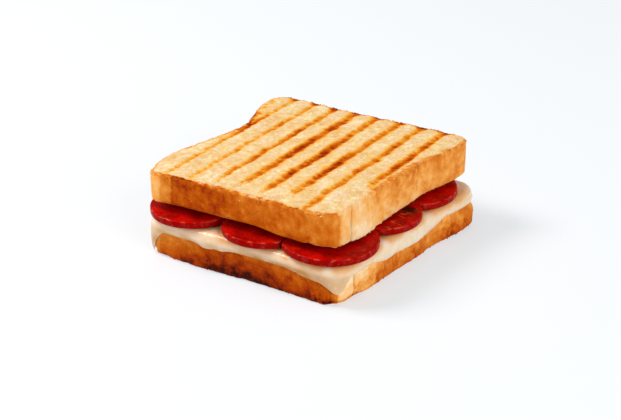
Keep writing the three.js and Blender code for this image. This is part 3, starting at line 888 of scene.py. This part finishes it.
def toast_finish(settings):
    """Toast: cream crumb, darker in its hollows, with painted shade in its pores and small dark
    specks, grill marks from gold to dark brown, and a crust from pale to burnt, with painted
    shade in its creases."""
    paint = Paint("toast")
    grill, bake = paint.attribute("grill"), paint.attribute("bake")
    crust, pore = paint.attribute("crust"), paint.attribute("pore")
    grain, crease_shade = paint.attribute("grain"), paint.attribute("crease_shade")
    fine = paint.noise(0.8, 2)
    middling = paint.noise(2.6, 3)
    broad = paint.noise(9, 2)
    tone = paint.noise(4.5, 2)

    top = paint.total(paint.times(grain, 0.42), paint.span(fine, 0.3, 0.7, 0.08, 0.28),
                      paint.span(middling, 0.3, 0.7, -0.17, 0.17),
                      paint.span(broad, 0.3, 0.7, -0.15, 0.18))
    crumb = paint.ramp(top, ((0.0, colour(0xD8984A)), (0.25, tuple(settings.golden)),
                             (0.44, colour(0xECC68C)), (0.62, colour(0xF3DCB6)),
                             (0.9, tuple(settings.cream))))
    crumb = paint.mix(paint.span(tone, 0.53, 0.68, 0.0, 0.5), crumb, colour(0xF2DC98))
    crumb = paint.mix(paint.span(tone, 0.47, 0.32, 0.0, 0.5), crumb, colour(0xF5DAC2))
    tanned = paint.span(paint.noise(3.4, 2), 0.56, 0.7, 0.0, 0.5)
    crumb = paint.mix(tanned, crumb, colour(0xE4AC62))
    speck = paint.times(paint.span(paint.cells(1.8), 0.12, 0.22, 1.0, 0.0),
                        paint.span(middling, 0.48, 0.58, 0.0, 0.7))
    # Painted shade in the pores, and small dark specks.
    pore_shade_and_speck = paint.maths("MAXIMUM", paint.span(pore, 0.3, 0.9, 0.0, 0.6), speck)
    crumb = paint.mix(pore_shade_and_speck, crumb, colour(0xA98A4C))

    darkness = paint.total(grill, paint.span(grain, 0.2, 0.8, 0.06, -0.08),
                           paint.span(fine, 0.3, 0.7, 0.05, -0.05))
    share = paint.span(darkness, 0.05, 0.24)
    marks = paint.ramp(darkness, ((0.0, colour(0xF6D08E)), (0.14, colour(0xF5C57A)),
                                  (0.27, colour(0xF0AE4A)), (0.4, colour(0xE59226)),
                                  (0.54, colour(0xD66C0C)), (0.68, colour(0xC04E02)),
                                  (0.82, colour(0xA03002)), (1.0, colour(0x641604))))
    crumb = paint.mix(share, crumb, marks)

    brown = paint.total(bake, paint.span(grain, 0.15, 0.85, 0.11, -0.11),
                        paint.span(fine, 0.3, 0.7, 0.03, -0.03),
                        paint.span(middling, 0.3, 0.7, 0.05, -0.05))
    flecks = paint.times(paint.span(paint.cells(1.7), 0.09, 0.16, 1.0, 0.0),
                         paint.span(paint.noise(5, 2), 0.5, 0.65, 0.0, 0.3))
    brown = paint.maths("SUBTRACT", brown, flecks)
    skin = paint.ramp(brown, crust_tints(settings))
    # Painted shade in the creases' grooves.
    skin = paint.mix(paint.span(crease_shade, 0.1, 0.9, 0.0, 0.7), skin, colour(0x7A3A10))
    skin = paint.mix(paint.span(grill, 0.3, 0.65, 0.0, 0.85), skin, colour(0x5E1E06))
    tint = paint.mix(crust, crumb, skin)

    crumb_bump = paint.total(paint.span(paint.cells(0.8), 0.0, 0.6), paint.times(fine, 0.9))
    crust_bump = paint.total(paint.noise(1.3, 3, 0.5), paint.times(paint.noise(0.4, 2), 0.2))
    normal = paint.add("Mix", data_type="VECTOR")
    paint.put(crust, normal.inputs["Factor"])
    paint.put(paint.bump(crumb_bump, 0.18, 0.9), normal.inputs[4])
    paint.put(paint.bump(crust_bump, 0.16, 0.8), normal.inputs[5])
    gloss = paint.mix_value(crust, 0.85, paint.span(middling, 0.35, 0.7, 0.45, 0.65))
    return paint.finish(Base_Color=tint, Roughness=gloss, Normal=normal.outputs[1],
                        Specular_IOR_Level=0.03, Subsurface_Weight=0.06,
                        Subsurface_Radius=(1.0, 0.5, 0.25), Subsurface_Scale=1.0 * MM)


def crumbs_finish(settings):
    """Loose crumbs: each has a tone of its own, from pale to burnt."""
    paint = Paint("loose_crumbs")
    fine = paint.noise(0.5, 2)
    tone = paint.total(paint.attribute("tone"), paint.span(fine, 0.3, 0.7, 0.06, -0.06))
    tint = paint.ramp(tone, crust_tints(settings))
    return paint.finish(Base_Color=tint, Roughness=paint.span(fine, 0.3, 0.7, 0.6, 0.8),
                        Normal=paint.bump(fine, 0.08, 0.8), Specular_IOR_Level=0.03)


def cheese_finish(settings):
    """Melted cheese: milky and glossy, yellower where the sausage's fat has run, darker and
    yellower in its folds and low on the skirt, partly the toast showing through and partly
    painted shade, and paler at its bubbles as a painted highlight."""
    paint = Paint("melted_cheese")
    broad = paint.noise(8, 2)
    fine = paint.noise(1.8, 2)
    oil, bubble_and_highlight = paint.attribute("oil"), paint.attribute("bubble_and_highlight")
    base = paint.mix(paint.span(broad, 0.35, 0.65), tuple(settings.cheese), colour(0xEFD1AA))
    base = paint.mix(paint.span(fine, 0.45, 0.75, 0.0, 0.10), base, colour(0xF8E4CC))
    # Partly painted shade: darker and yellower on the front and towards the hem, where the toast also
    # shows through.
    base = paint.mix(paint.attribute("show_through_and_shade"), base, colour(0xC0883F))
    # Painted highlight: the bubbles are paler, standing in for the gloss on them.
    base = paint.mix(paint.times(bubble_and_highlight, 0.7), base, colour(0xF7E4CC))
    base = paint.mix(paint.times(oil, 0.8), base, colour(0xE29C4A))
    dimples = paint.bump(paint.noise(4.5, 2), 0.22, 0.6)
    grains = paint.bump(paint.noise(1.2, 2), 0.02, 0.5, dimples)
    return paint.finish(Base_Color=base, Roughness=paint.span(fine, 0.3, 0.7, 0.18, 0.30),
                        Normal=grains, Subsurface_Weight=0.4,
                        Subsurface_Radius=(1.0, 0.6, 0.3), Subsurface_Scale=2.5 * MM,
                        Specular_IOR_Level=0.22, Coat_Roughness=0.06,
                        Coat_Weight=paint.span(paint.noise(3.2, 2), 0.48, 0.64, 0.05, 0.6))


def sausage_finish(settings):
    """Cured sausage: deep red with darker and fattier flecks, a painted highlight line round its
    upper edge, painted glints on its side, browned spots, and an oily gloss."""
    paint = Paint("cured_sausage")
    side, rim = paint.attribute("side"), paint.attribute("rim")
    char, tan = paint.attribute("char"), paint.attribute("tan")
    broad = paint.noise(7, 2)
    fine = paint.noise(1.1, 3)
    flesh = paint.mix(paint.span(broad, 0.35, 0.65), tuple(settings.sausage), colour(0x940200))
    flesh = paint.mix(paint.span(fine, 0.5, 0.75, 0.0, 0.4), flesh, colour(0xCC1406))
    # Flecks of fat on the top; on the side the same flecks are painted glints.
    fleck_and_glint = paint.times(paint.span(paint.cells(1.9), 0.07, 0.2, 1.0, 0.0),
                        paint.span(fine, 0.42, 0.6, 0.0, 0.35))
    flesh = paint.mix(paint.times(fleck_and_glint, 0.5), flesh, colour(0xD04A20))
    flesh = paint.mix(tan, flesh, colour(0xDC6C34))
    cut = paint.mix(paint.span(fine, 0.4, 0.66), colour(0x8C0100), colour(0xA20500))
    mottle = paint.times(paint.span(paint.noise(1.3, 2), 0.5, 0.68),
                         paint.span(paint.noise(5, 2), 0.48, 0.68, 0.0, 0.5))
    cut = paint.mix(mottle, cut, colour(0xB02C16))
    # Painted glints: pale pink dots on the side, standing in for specular dots.
    cut = paint.mix(fleck_and_glint, cut, colour(0xF0A080))
    tint = paint.mix(side, flesh, cut)
    # Painted highlight: a broken pale red line round the skin's upper edge, standing in for its gloss.
    line = paint.times(rim, paint.span(paint.noise(2.6, 2), 0.5, 0.62, 0.0, 0.8))
    tint = paint.mix(line, tint, colour(0xE2583A))
    tint = paint.mix(char, tint, colour(0x361006))
    dents = paint.bump(paint.noise(1.6, 2), 0.25, 0.6)
    grain = paint.bump(paint.noise(0.5, 2), 0.05, 0.5, dents)
    return paint.finish(Base_Color=tint, Roughness=paint.span(fine, 0.3, 0.7, 0.15, 0.35),
                        Normal=grain, Subsurface_Weight=0.05,
                        Subsurface_Radius=(1.0, 0.2, 0.1), Subsurface_Scale=1.0 * MM,
                        Specular_IOR_Level=0.01, Coat_Roughness=0.08,
                        Coat_Weight=paint.span(paint.noise(2.4, 2), 0.54, 0.66, 0.02, 0.3))


def floor_finish():
    """A pale table lit from inside, as under a product photo, so that shadows on it stay pale."""
    paint = Paint("pale_floor")
    shade = paint.ramp(paint.noise(400, 2), ((0.0, (0.455, 0.425, 0.43)), (1.0, (0.465, 0.435, 0.44))))
    return paint.finish(Base_Color=shade, Roughness=0.9, Specular_IOR_Level=0.0,
                        Emission_Color=(0.865, 0.966, 1.0), Emission_Strength=FLOOR_GLOW)


# ---- Operators ----


def no_droop(points):
    """The droop of a face that lies level."""
    return np.zeros(len(points))


def node_heights(node):
    """The lowest and highest point of a node, in millimetres."""
    low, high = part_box(node)
    return low.z / MM, high.z / MM


def placed_line(settings, plan, node):
    """A slice's outline over its node's box, and where the slice's centre line then lies."""
    plain = crust_line(settings.detail, **plan)
    line = set_in_box(plain, node)
    return line, plan["shift"] + (line.points[0, 0] - plain.points[0, 0])


def closed_faces(rings, count):
    """The faces of rings of indices and of the two fans that close them. Of the count points, the
    last one lies inside the last ring, and the one before it inside the first."""
    fans = [fan_faces(rings[-1], count - 1), fan_faces(rings[0][::-1], count - 2)]
    return ring_faces(rings), np.vstack(fans)


def material_once(name, make, settings):
    """The material of that name, made the first time it is asked for."""
    return bpy.data.materials.get(name) or make(settings)


class TOASTIE_OT_lower_slice(Operator):
    """Makes the lower slice of toast, whose grilled underside is the shown face"""
    bl_idname = "toastie.lower_slice"
    bl_label = "Lower slice"

    def execute(self, context):
        settings = context.scene.toastie_bread
        line, centre_x = placed_line(settings, LOWER_PLAN, "bread_bottom")
        bottom, top = node_heights("bread_bottom")
        skin, attributes = toast_skin(
            line, settings.detail, bottom, top, np.zeros(4 * settings.detail), no_droop, LOWER_RIMS,
            LOWER_TOASTING, GRILL_MARKS[::-1], centre_x, settings.pore_depth / MM)
        new_piece("lower_slice", skin.points, skin.quads, skin.triangles, attributes,
                  material_once("toast", toast_finish, settings), ["bread_bottom"],
                  flip=True)
        return {"FINISHED"}


class TOASTIE_OT_upper_slice(Operator):
    """Makes the upper slice of toast, with grill marks on top and curled edges"""
    bl_idname = "toastie.upper_slice"
    bl_label = "Upper slice"

    def execute(self, context):
        settings = context.scene.toastie_bread
        line, centre_x = placed_line(settings, UPPER_PLAN, "bread_top")
        corner = np.array([line.points[:, 0].min(), line.points[:, 1].min()])

        def droop(points):
            """A bell curve round the front left corner."""
            away = np.linalg.norm(points - corner, axis=1)
            return CORNER_DROOP * np.exp(-((away / DROOP_REACH) ** 2))

        bottom, top = node_heights("bread_top")
        lift = CURL_BASE + swell(CURLS, line.walked, line.length)
        skin, attributes = toast_skin(
            line, settings.detail, top, bottom, lift, droop, UPPER_RIMS, UPPER_TOASTING,
            GRILL_MARKS, centre_x, settings.pore_depth / MM)
        new_piece("upper_slice", skin.points, skin.quads, skin.triangles, attributes,
                  material_once("toast", toast_finish, settings), ["bread_top"])
        return {"FINISHED"}


class TOASTIE_OT_cheese(Operator):
    """Makes the layer of melted cheese with its skirt of soft folds"""
    bl_idname = "toastie.cheese"
    bl_label = "Cheese"

    def execute(self, context):
        settings = context.scene.toastie_filling
        line = set_in_box(crust_line(settings.detail, **LOWER_PLAN), "bread_bottom")
        slice_top = node_heights("bread_bottom")[1]
        points, rings, attributes = cheese_skin(line, slice_top, node_heights("cheese")[1])
        quads, triangles = closed_faces(rings, len(points))
        new_piece("melted_cheese", points, quads, triangles, attributes,
                  material_once("melted_cheese", cheese_finish, settings), ["cheese"],
                  flip=True)
        return {"FINISHED"}


def skirt_hem(line, shoulder):
    """The height of the skirt's hem: level, less the folds, and a little uneven."""
    hem = HEM_HEIGHT - swell(FOLDS, line.walked, line.length)
    edge = np.column_stack([line.points, hem])
    hem = hem + 0.25 * cloud(edge, 3.2, 61) + 0.12 * cloud(edge, 1.4, 62)
    return np.clip(hem, LOWEST_HEM, shoulder - SKIRT_THICKNESS / 2)


def cheese_rings(line, slice_top, cheese_top):
    """Rings from the middle of the underside out over the lower slice's rim, down inside the
    skirt, round its hem, up its outside, round the brink and in over the top, and how many of
    them lie on the lower slice."""
    shoulder = slice_top - RIM_RADIUS
    hem = skirt_hem(line, shoulder)
    tuck = swell(SKIRT_TUCKS, line.walked, line.length)
    brink = cheese_top - CHEESE_RIM_RADIUS
    outside = GAP + SKIRT_THICKNESS
    inner_lean, outer_lean = HEM_LEAN
    middle = line.points.mean(axis=0)
    flat = middle + (line.points - middle) * HIDDEN_SCALE
    count = len(flat)
    rings = [np.column_stack([flat, np.full(count, slice_top + GAP)])]

    def ring(inset, height):
        plan = line.points - line.out * np.broadcast_to(inset, count)[:, None]
        rings.append(np.column_stack([plan, np.broadcast_to(height, count)]))

    def lean(height):
        return np.exp(-(((height - hem) / HEM_LEAN_REACH) ** 2))

    for turn in np.linspace(TURN / 4, 0, HEM_ROWS):
        ring(RIM_RADIUS - (RIM_RADIUS + GAP) * np.cos(turn),
             shoulder + (RIM_RADIUS + GAP) * np.sin(turn))
    hidden_rings = len(rings)
    inner_hem = np.minimum(hem + SKIRT_THICKNESS / 2, shoulder - GAP)
    for share in (0.5, 1.0):
        height = shoulder + (inner_hem - shoulder) * share
        ring(-GAP + inner_lean * lean(height), height)
    for turn in np.linspace(-TURN * 3 / 8, 0, HEM_ROWS)[1:]:
        half = (SKIRT_THICKNESS - outer_lean + inner_lean) / 2
        height = hem + half + half * np.sin(turn)
        ring(-GAP + inner_lean - half - half * np.cos(turn), height)
    for share in np.arange(1, SKIRT_ROWS + 1) / SKIRT_ROWS:
        bulge = SKIRT_BULGE * np.sin(np.pi * share)
        height = hem + SKIRT_THICKNESS / 2 + (brink - hem - SKIRT_THICKNESS / 2) * share
        ring(-outside - bulge + outer_lean * lean(height) + tuck * share, height)
    for turn in np.linspace(0, TURN / 4, BRINK_ROWS)[1:]:
        ring(CHEESE_RIM_RADIUS - outside - CHEESE_RIM_RADIUS * np.cos(turn) + tuck,
             brink + CHEESE_RIM_RADIUS * np.sin(turn))
    start = rings[-1][:, :2]
    for share in np.arange(1, CHEESE_TOP_ROWS + 1) / CHEESE_TOP_ROWS:
        rings.append(np.column_stack([start * (1 - share) + flat * share,
                                      np.full(count, cheese_top)]))
    return rings, hidden_rings


def cheese_skin(line, slice_top, cheese_top):
    """The cheese's points and rings with its dimples and bubbles, which push the skirt inwards
    and the top down, and the attributes that its finish is painted by."""
    rings, hidden_rings = cheese_rings(line, slice_top, cheese_top)
    middle = line.points.mean(axis=0)
    brink = cheese_top - CHEESE_RIM_RADIUS
    count = len(line.points)
    points = np.concatenate(rings)
    patchy = np.tile(swell(BUBBLY_STRETCHES, line.walked, line.length), len(rings))
    patchy = np.maximum(patchy, 0.35 * smooth(0.2, 0.6, cloud(points, 9, 66)))
    # The bubbles' relief; the finish also paints them paler as a highlight.
    bubble_and_highlight = pits(points, 2.2, 0.5, 1.2, 0.7, 67) * patchy
    dimple = 0.16 + 0.10 * cloud(points, 6.5, 63) + 0.015 * cloud(points, 2.6, 64) - 0.14 * bubble_and_highlight
    shown = np.repeat(np.arange(len(rings)) > hidden_rings + 1, count)
    from_middle = points[:, :2] - middle
    inward = -from_middle / np.linalg.norm(from_middle, axis=1, keepdims=True)
    top = smooth(brink, cheese_top, points[:, 2])
    shift = np.clip(dimple, 0, 0.3) * shown
    points[:, :2] += inward * (shift * (1 - top))[:, None]
    points[:, 2] -= shift * top
    oil = sausage_fat(points) * smooth(brink - 1.0, cheese_top - 1.4, points[:, 2])
    show_through_and_shade = eased_run(SKIRT_SHOW_THROUGH_AND_SHADE, np.tile(line.walked, len(rings)))
    # Strongest low on the skirt, as painted shade.
    show_through_and_shade = show_through_and_shade * smooth(brink + 1, HEM_HEIGHT, points[:, 2]) * (1 + 0.5 * cloud(points, 6, 68))
    points = np.vstack([points, [[*middle, slice_top + GAP]], [[*middle, cheese_top]]])
    index = np.arange(count * len(rings)).reshape(len(rings), count)
    attributes = {"oil": np.append(oil, [0, 0]), "bubble_and_highlight": np.append(bubble_and_highlight, [0, 0]),
                  "show_through_and_shade": np.append(np.clip(show_through_and_shade * (1 - 0.7 * bubble_and_highlight), 0, 1), [0, 0])}
    return points, index, attributes


def sausage_fat(points):
    """How much fat has run into the cheese: most at a sausage slice's edge and fading over a few
    millimetres, in patches."""
    fat = np.zeros(len(points))
    for index in range(len(SAUSAGE_ROUNDS)):
        low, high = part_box(f"sausage_{index + 1}")
        x, y = (low.x + high.x) / 2 / MM, (low.y + high.y) / 2 / MM
        past_edge = np.hypot(points[:, 0] - x, points[:, 1] - y) - SAUSAGE_ROUNDS[index][2]
        fat = np.maximum(fat, np.exp(-np.clip(past_edge, 0, None) / FAT_REACH))
    return fat * smooth(*FAT_PATCHES, cloud(points, 8, 65)) * smooth(*FAT_STARTS, points[:, 0])


class TOASTIE_OT_sausage(Operator):
    """Makes the nine round slices of cured sausage"""
    bl_idname = "toastie.sausage"
    bl_label = "Sausage slices"

    def execute(self, context):
        settings = context.scene.toastie_filling
        material = material_once("cured_sausage", sausage_finish, settings)
        for index in range(len(SAUSAGE_ROUNDS)):
            node = f"sausage_{index + 1}"
            points, rings, attributes = sausage_skin(index, node)
            quads, triangles = closed_faces(rings, len(points))
            new_piece(f"sausage_slice_{index + 1}", points, quads, triangles, attributes,
                      material, [node])
        return {"FINISHED"}


def sausage_reach(index, angle):
    """The distance from a round's middle to its edge: its radius, a little uneven, and shorter
    where it is pressed flat against a neighbour, joined by a soft minimum."""
    x, y, radius = SAUSAGE_ROUNDS[index]
    wobble = np.sin(2 * angle + index) + np.sin(3 * angle + 2 * index) / 2
    total = (radius * (1 + SAUSAGE_WOBBLE * wobble)) ** -PRESSED_SHARPNESS
    for other, (other_x, other_y, other_radius) in enumerate(SAUSAGE_ROUNDS):
        if other == index:
            continue
        apart = np.hypot(other_x - x, other_y - y)
        facing = np.cos(angle - np.arctan2(other_y - y, other_x - x))
        contact = (apart**2 + radius**2 - other_radius**2) / (2 * apart) - GAP
        facing_it = facing > 0.1
        flat_edge = np.where(facing_it, contact / np.where(facing_it, facing, 1), 1e9)
        total = total + flat_edge**-PRESSED_SHARPNESS
    return total ** (-1 / PRESSED_SHARPNESS)


def charring(index, points, centre):
    """How charred a round is: most inside its charred spots, fading at their uneven edges."""
    char = np.zeros(len(points))
    for at, x, y, radius in CHARRED_SPOTS:
        if at == index:
            away = np.hypot(points[:, 0] - centre[0] - x, points[:, 1] - centre[1] - y)
            away = away + 1.2 * cloud(points, 2.2, 73)
            char = np.maximum(char, 0.9 * smooth(radius, radius * 0.4, away))
    return char


def sausage_skin(index, node):
    """Rings from the middle of the top out round the edge to the middle of the underside, and the
    attributes that the finish is painted by."""
    facets, face_rows = SAUSAGE_FACETS, SAUSAGE_FACE_ROWS
    angle = np.arange(facets) / facets * TURN
    reach = sausage_reach(index, angle) - SKIN_INSET
    low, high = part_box(node)
    bottom, top = node_heights(node)
    plan = with_directions(np.stack([reach * np.cos(angle), reach * np.sin(angle)], axis=1))
    box_middle = np.array([low.x + high.x, low.y + high.y]) / 2 / MM
    centre = box_middle - (plan.points.min(axis=0) + plan.points.max(axis=0)) / 2
    edge = SAUSAGE_EDGE_RADIUS
    rings = []

    def ring(worn, height, scale=1.0):
        """A ring set in by a share of the edge's radius and then scaled."""
        flat = (plan.points - plan.out * edge * worn) * scale
        rings.append(np.column_stack([flat, np.full(facets, height)]))

    for share in np.arange(1, face_rows) / face_rows:
        ring(1, top, share)
    for turn in np.linspace(TURN / 4, 0, SAUSAGE_RIM_ROWS):
        ring(1 - np.cos(turn), top - edge + edge * np.sin(turn))
    for turn in np.linspace(0, -TURN / 4, SAUSAGE_RIM_ROWS):
        ring(1 - np.cos(turn), bottom + edge + edge * np.sin(turn))
    for share in np.arange(face_rows - 1, 0, -3) / face_rows:
        ring(1, bottom, share)
    points = np.concatenate(rings)
    points[:, :2] += centre
    # In this order the fans join each middle to the other face's innermost ring, out of sight.
    points = np.vstack([points, [[*centre, bottom]], [[*centre, top]]])
    side = 1 - smooth(top - edge * 1.1, top - edge * 0.4, points[:, 2])
    from_middle = np.hypot(*(points[:, :2] - centre).T)
    # Where the finish paints the highlight line, a little below the top edge.
    rim = np.exp(-(((points[:, 2] - top + edge * RIM_HIGHLIGHT_DROP) / RIM_HIGHLIGHT_WIDTH) ** 2))
    rim = rim * (from_middle > RIM_HIGHLIGHT_START)
    depth = np.clip(0.14 + 0.12 * cloud(points, 4.5, 71) + 0.04 * cloud(points, 1.3, 72), 0, 0.4)
    on_top = smooth(top - edge, top, points[:, 2])
    points[:, 2] -= depth * on_top
    veins = smooth(0.09, 0.0, np.abs(cloud(points, 5, 74))) * smooth(-0.1, 0.3, cloud(points, 7, 75))
    browned = BROWNED_VEINS if index == BROWNED_ROUND else PLAIN_VEINS
    attributes = {"side": side, "rim": rim, "char": charring(index, points, centre),
                  "tan": veins * browned}
    return points, np.arange(facets * len(rings)).reshape(len(rings), facets), attributes


CrumbRun = namedtuple("CrumbRun", "piece zone count sizes tone_shift tone_spread")
# Each run: the piece the crumbs lie on, where, how many, their radii from and to, and their tone
# against the toast below them.
CRUMB_RUNS = (
    CrumbRun("upper_slice", "rim", 700, (0.12, 0.36), -0.08, 0.14),
    CrumbRun("upper_slice", "hem", 520, (0.14, 0.50), -0.10, 0.14),
    CrumbRun("upper_slice", "face", 400, (0.10, 0.24), 0.12, 0.14),
    CrumbRun("upper_slice", "crust", 140, (0.10, 0.24), -0.22, 0.10),
    CrumbRun("lower_slice", "rim", 260, (0.12, 0.36), 0.0, 0.12),
    CrumbRun("lower_slice", "crust", 160, (0.10, 0.24), -0.12, 0.14),
)
CRUMB_SEED = 12
CRUMB_LIFT = 0.25  # how much of its radius a crumb's middle lies above the toast
CRUMB_CLEARANCE = 0.07  # kept below the upper slice's top and above the floor


def ball_shape():
    """The twelve corners and twenty faces of a regular icosahedron of radius 1: the corners are
    (0, 1, g) with every sign and turned through every axis, where g is the golden ratio."""
    golden = (1 + 5**0.5) / 2
    signs = np.array([(a, b) for a in (-1, 1) for b in (-1, 1)])
    flat = np.column_stack([np.zeros(4), signs[:, 0], signs[:, 1] * golden])
    corners = np.vstack([flat, np.roll(flat, 1, axis=1), np.roll(flat, 2, axis=1)])
    near = np.linalg.norm(corners[:, None] - corners[None], axis=2) < 2.1
    near &= ~np.eye(12, dtype=bool)
    triples = np.argwhere(near[:, :, None] & near[:, None, :] & near[None])
    turned = np.linalg.det(corners[triples]) > 0
    first = triples[:, 0] == triples.min(axis=1)
    return corners / np.hypot(1, golden), triples[turned & first]


def read_values(mesh, name):
    """A mesh's named attribute as an array."""
    values = np.empty(len(mesh.vertices), dtype=np.float32)
    mesh.attributes[name].data.foreach_get("value", values)
    return values


def crumbs_on(run, random):
    """The middles, radii and tones of a run of crumbs, laid on randomly picked points of the
    piece, each by the weight that its zone gives it."""
    mesh = bpy.data.objects[run.piece].data
    places = np.empty(len(mesh.vertices) * 3)
    mesh.vertices.foreach_get("co", places)
    normals = np.empty(len(mesh.vertices) * 3)
    mesh.vertices.foreach_get("normal", normals)
    edge, crust, face = (read_values(mesh, name) for name in ("edge", "crust", "face"))
    weights = {
        "rim": np.clip(edge - 0.35, 0, None),
        "hem": np.clip(-edge - 0.45, 0, None),
        "face": face * (crust < 0.3),
        "crust": (crust > 0.9) * (np.abs(edge) < 0.3) * (1 - face),
    }[run.zone].astype(float)
    picks = random.choice(len(weights), run.count, replace=False, p=weights / weights.sum())
    low, high = run.sizes
    radii = low + (high - low) * random.random(run.count) ** 2.2
    middles = places.reshape(-1, 3)[picks] / MM
    middles = middles + normals.reshape(-1, 3)[picks] * (radii * CRUMB_LIFT)[:, None]
    below = np.maximum(read_values(mesh, "bake") * crust, 0.9 * read_values(mesh, "grill"))[picks]
    tones = below + run.tone_shift + run.tone_spread * random.standard_normal(run.count)
    return middles, radii, np.clip(tones, 0.04, 1)


def random_turns(count, random):
    """Random turning matrices, each from a random quaternion of length 1."""
    quaternions = random.standard_normal((4, count))
    w, x, y, z = quaternions / np.linalg.norm(quaternions, axis=0)
    return np.stack([
        np.stack([1 - 2 * (y * y + z * z), 2 * (x * y - z * w), 2 * (x * z + y * w)], axis=-1),
        np.stack([2 * (x * y + z * w), 1 - 2 * (x * x + z * z), 2 * (y * z - x * w)], axis=-1),
        np.stack([2 * (x * z - y * w), 2 * (y * z + x * w), 1 - 2 * (x * x + y * y)], axis=-1),
    ], axis=1)


class TOASTIE_OT_crumbs(Operator):
    """Makes the loose crumbs that cling to both slices"""
    bl_idname = "toastie.crumbs"
    bl_label = "Crumbs"

    def execute(self, context):
        settings = context.scene.toastie_bread
        random = np.random.default_rng(CRUMB_SEED)
        runs = [crumbs_on(run, random) for run in CRUMB_RUNS]
        middles, radii, tones = (np.concatenate(values) for values in zip(*runs))
        count = len(radii)
        corners, faces = ball_shape()
        shape = corners * (0.65 + 0.6 * random.random((count, 12, 1)))
        shape = shape * (0.6 + 0.7 * random.random((count, 1, 3)))
        shape = np.einsum("nij,nvj->nvi", random_turns(count, random), shape)
        points = (middles[:, None] + shape * radii[:, None, None]).reshape(-1, 3)
        highest = node_heights("bread_top")[1] - CRUMB_CLEARANCE
        points[:, 2] = np.clip(points[:, 2], CRUMB_CLEARANCE, highest)
        triangles = (np.arange(count)[:, None, None] * 12 + faces).reshape(-1, 3)
        new_piece("crumbs", points, np.empty((0, 4), int), triangles,
                  {"tone": np.repeat(tones, 12)},
                  material_once("loose_crumbs", crumbs_finish, settings), [])
        return {"FINISHED"}


class TOASTIE_OT_stage(Operator):
    """Makes the floor, the lights and the camera"""
    bl_idname = "toastie.stage"
    bl_label = "Stage"

    def execute(self, context):
        settings = context.scene.toastie_stage
        make_floor()
        make_camera(settings)
        make_lights(settings)
        return {"FINISHED"}


def make_floor():
    """A plain square floor at height 0."""
    far = FLOOR_REACH
    corners = [(-far, -far, 0), (far, -far, 0), (far, far, 0), (-far, far, 0)]
    mesh = bpy.data.meshes.new("floor")
    mesh.from_pydata(corners, [], [(0, 1, 2, 3)])
    mesh.materials.append(floor_finish())
    floor = bpy.data.objects.new("floor", mesh)
    bpy.context.scene.collection.objects.link(floor)


def make_camera(settings):
    """The camera, looking at its target from an azimuth and an elevation, level."""
    azimuth, elevation = settings.azimuth, settings.elevation
    back = Vector((np.sin(azimuth) * np.cos(elevation), -np.cos(azimuth) * np.cos(elevation),
                   np.sin(elevation)))
    right = Vector((np.cos(azimuth), np.sin(azimuth), 0))
    up = back.cross(right)
    data = bpy.data.cameras.new("camera")
    data.lens = settings.lens
    data.sensor_width = SENSOR_WIDTH
    camera = bpy.data.objects.new("camera", data)
    turn = Matrix((right, up, back)).transposed().to_4x4()
    place = Vector(settings.target) + back * settings.distance
    camera.matrix_world = Matrix.Translation(place) @ turn
    bpy.context.scene.collection.objects.link(camera)
    bpy.context.scene.camera = camera


def add_area(name, place, aim, size, power):
    """A square soft light at a place, turned to a point."""
    data = bpy.data.lights.new(name, "AREA")
    data.size = size
    data.energy = power
    light = bpy.data.objects.new(name, data)
    light.location = place
    light.rotation_euler = (Vector(aim) - Vector(place)).to_track_quat("-Z", "Y").to_euler()
    bpy.context.scene.collection.objects.link(light)


def make_lights(settings):
    """A large soft light high on the left, a weak one from the right front, and an even sky."""
    add_area(*MAIN_LIGHT, settings.key)
    add_area(*FILL_LIGHT, settings.fill)
    world = bpy.data.worlds.new("sky")
    world.use_nodes = True
    background = world.node_tree.nodes["Background"]
    background.inputs["Color"].default_value = SKY_COLOUR
    background.inputs["Strength"].default_value = settings.sky
    bpy.context.scene.world = world
    bpy.context.scene.view_settings.view_transform = "Standard"


class TOASTIE_PT_panel(Panel):
    """Lists the pieces and the stage, each with the button that makes it"""
    bl_idname = "TOASTIE_PT_panel"
    bl_label = "Toastie"
    bl_space_type = "VIEW_3D"
    bl_region_type = "UI"
    bl_category = "Toastie"

    def draw(self, context):
        for settings in (context.scene.toastie_bread, context.scene.toastie_filling,
                         context.scene.toastie_stage):
            for name in settings.__annotations__:
                self.layout.prop(settings, name)
        for operator in OPERATORS:
            self.layout.operator(operator.bl_idname)


SETTINGS = {
    "toastie_bread": BreadSettings,
    "toastie_filling": FillingSettings,
    "toastie_stage": StageSettings,
}
OPERATORS = (
    TOASTIE_OT_stage,
    TOASTIE_OT_lower_slice,
    TOASTIE_OT_cheese,
    TOASTIE_OT_sausage,
    TOASTIE_OT_upper_slice,
    TOASTIE_OT_crumbs,
)


def register():
    for settings in SETTINGS.values():
        bpy.utils.register_class(settings)
    for operator in OPERATORS:
        bpy.utils.register_class(operator)
    bpy.utils.register_class(TOASTIE_PT_panel)
    for name, settings in SETTINGS.items():
        setattr(bpy.types.Scene, name, PointerProperty(type=settings))


def unregister():
    for name in SETTINGS:
        delattr(bpy.types.Scene, name)
    bpy.utils.unregister_class(TOASTIE_PT_panel)
    for operator in reversed(OPERATORS):
        bpy.utils.unregister_class(operator)
    for settings in reversed(SETTINGS.values()):
        bpy.utils.unregister_class(settings)


def main():
    """Builds everything."""
    register()
    bpy.ops.toastie.stage()
    bpy.ops.toastie.lower_slice()
    bpy.ops.toastie.cheese()
    bpy.ops.toastie.sausage()
    bpy.ops.toastie.upper_slice()
    bpy.ops.toastie.crumbs()


if __name__ == "__main__":
    main()
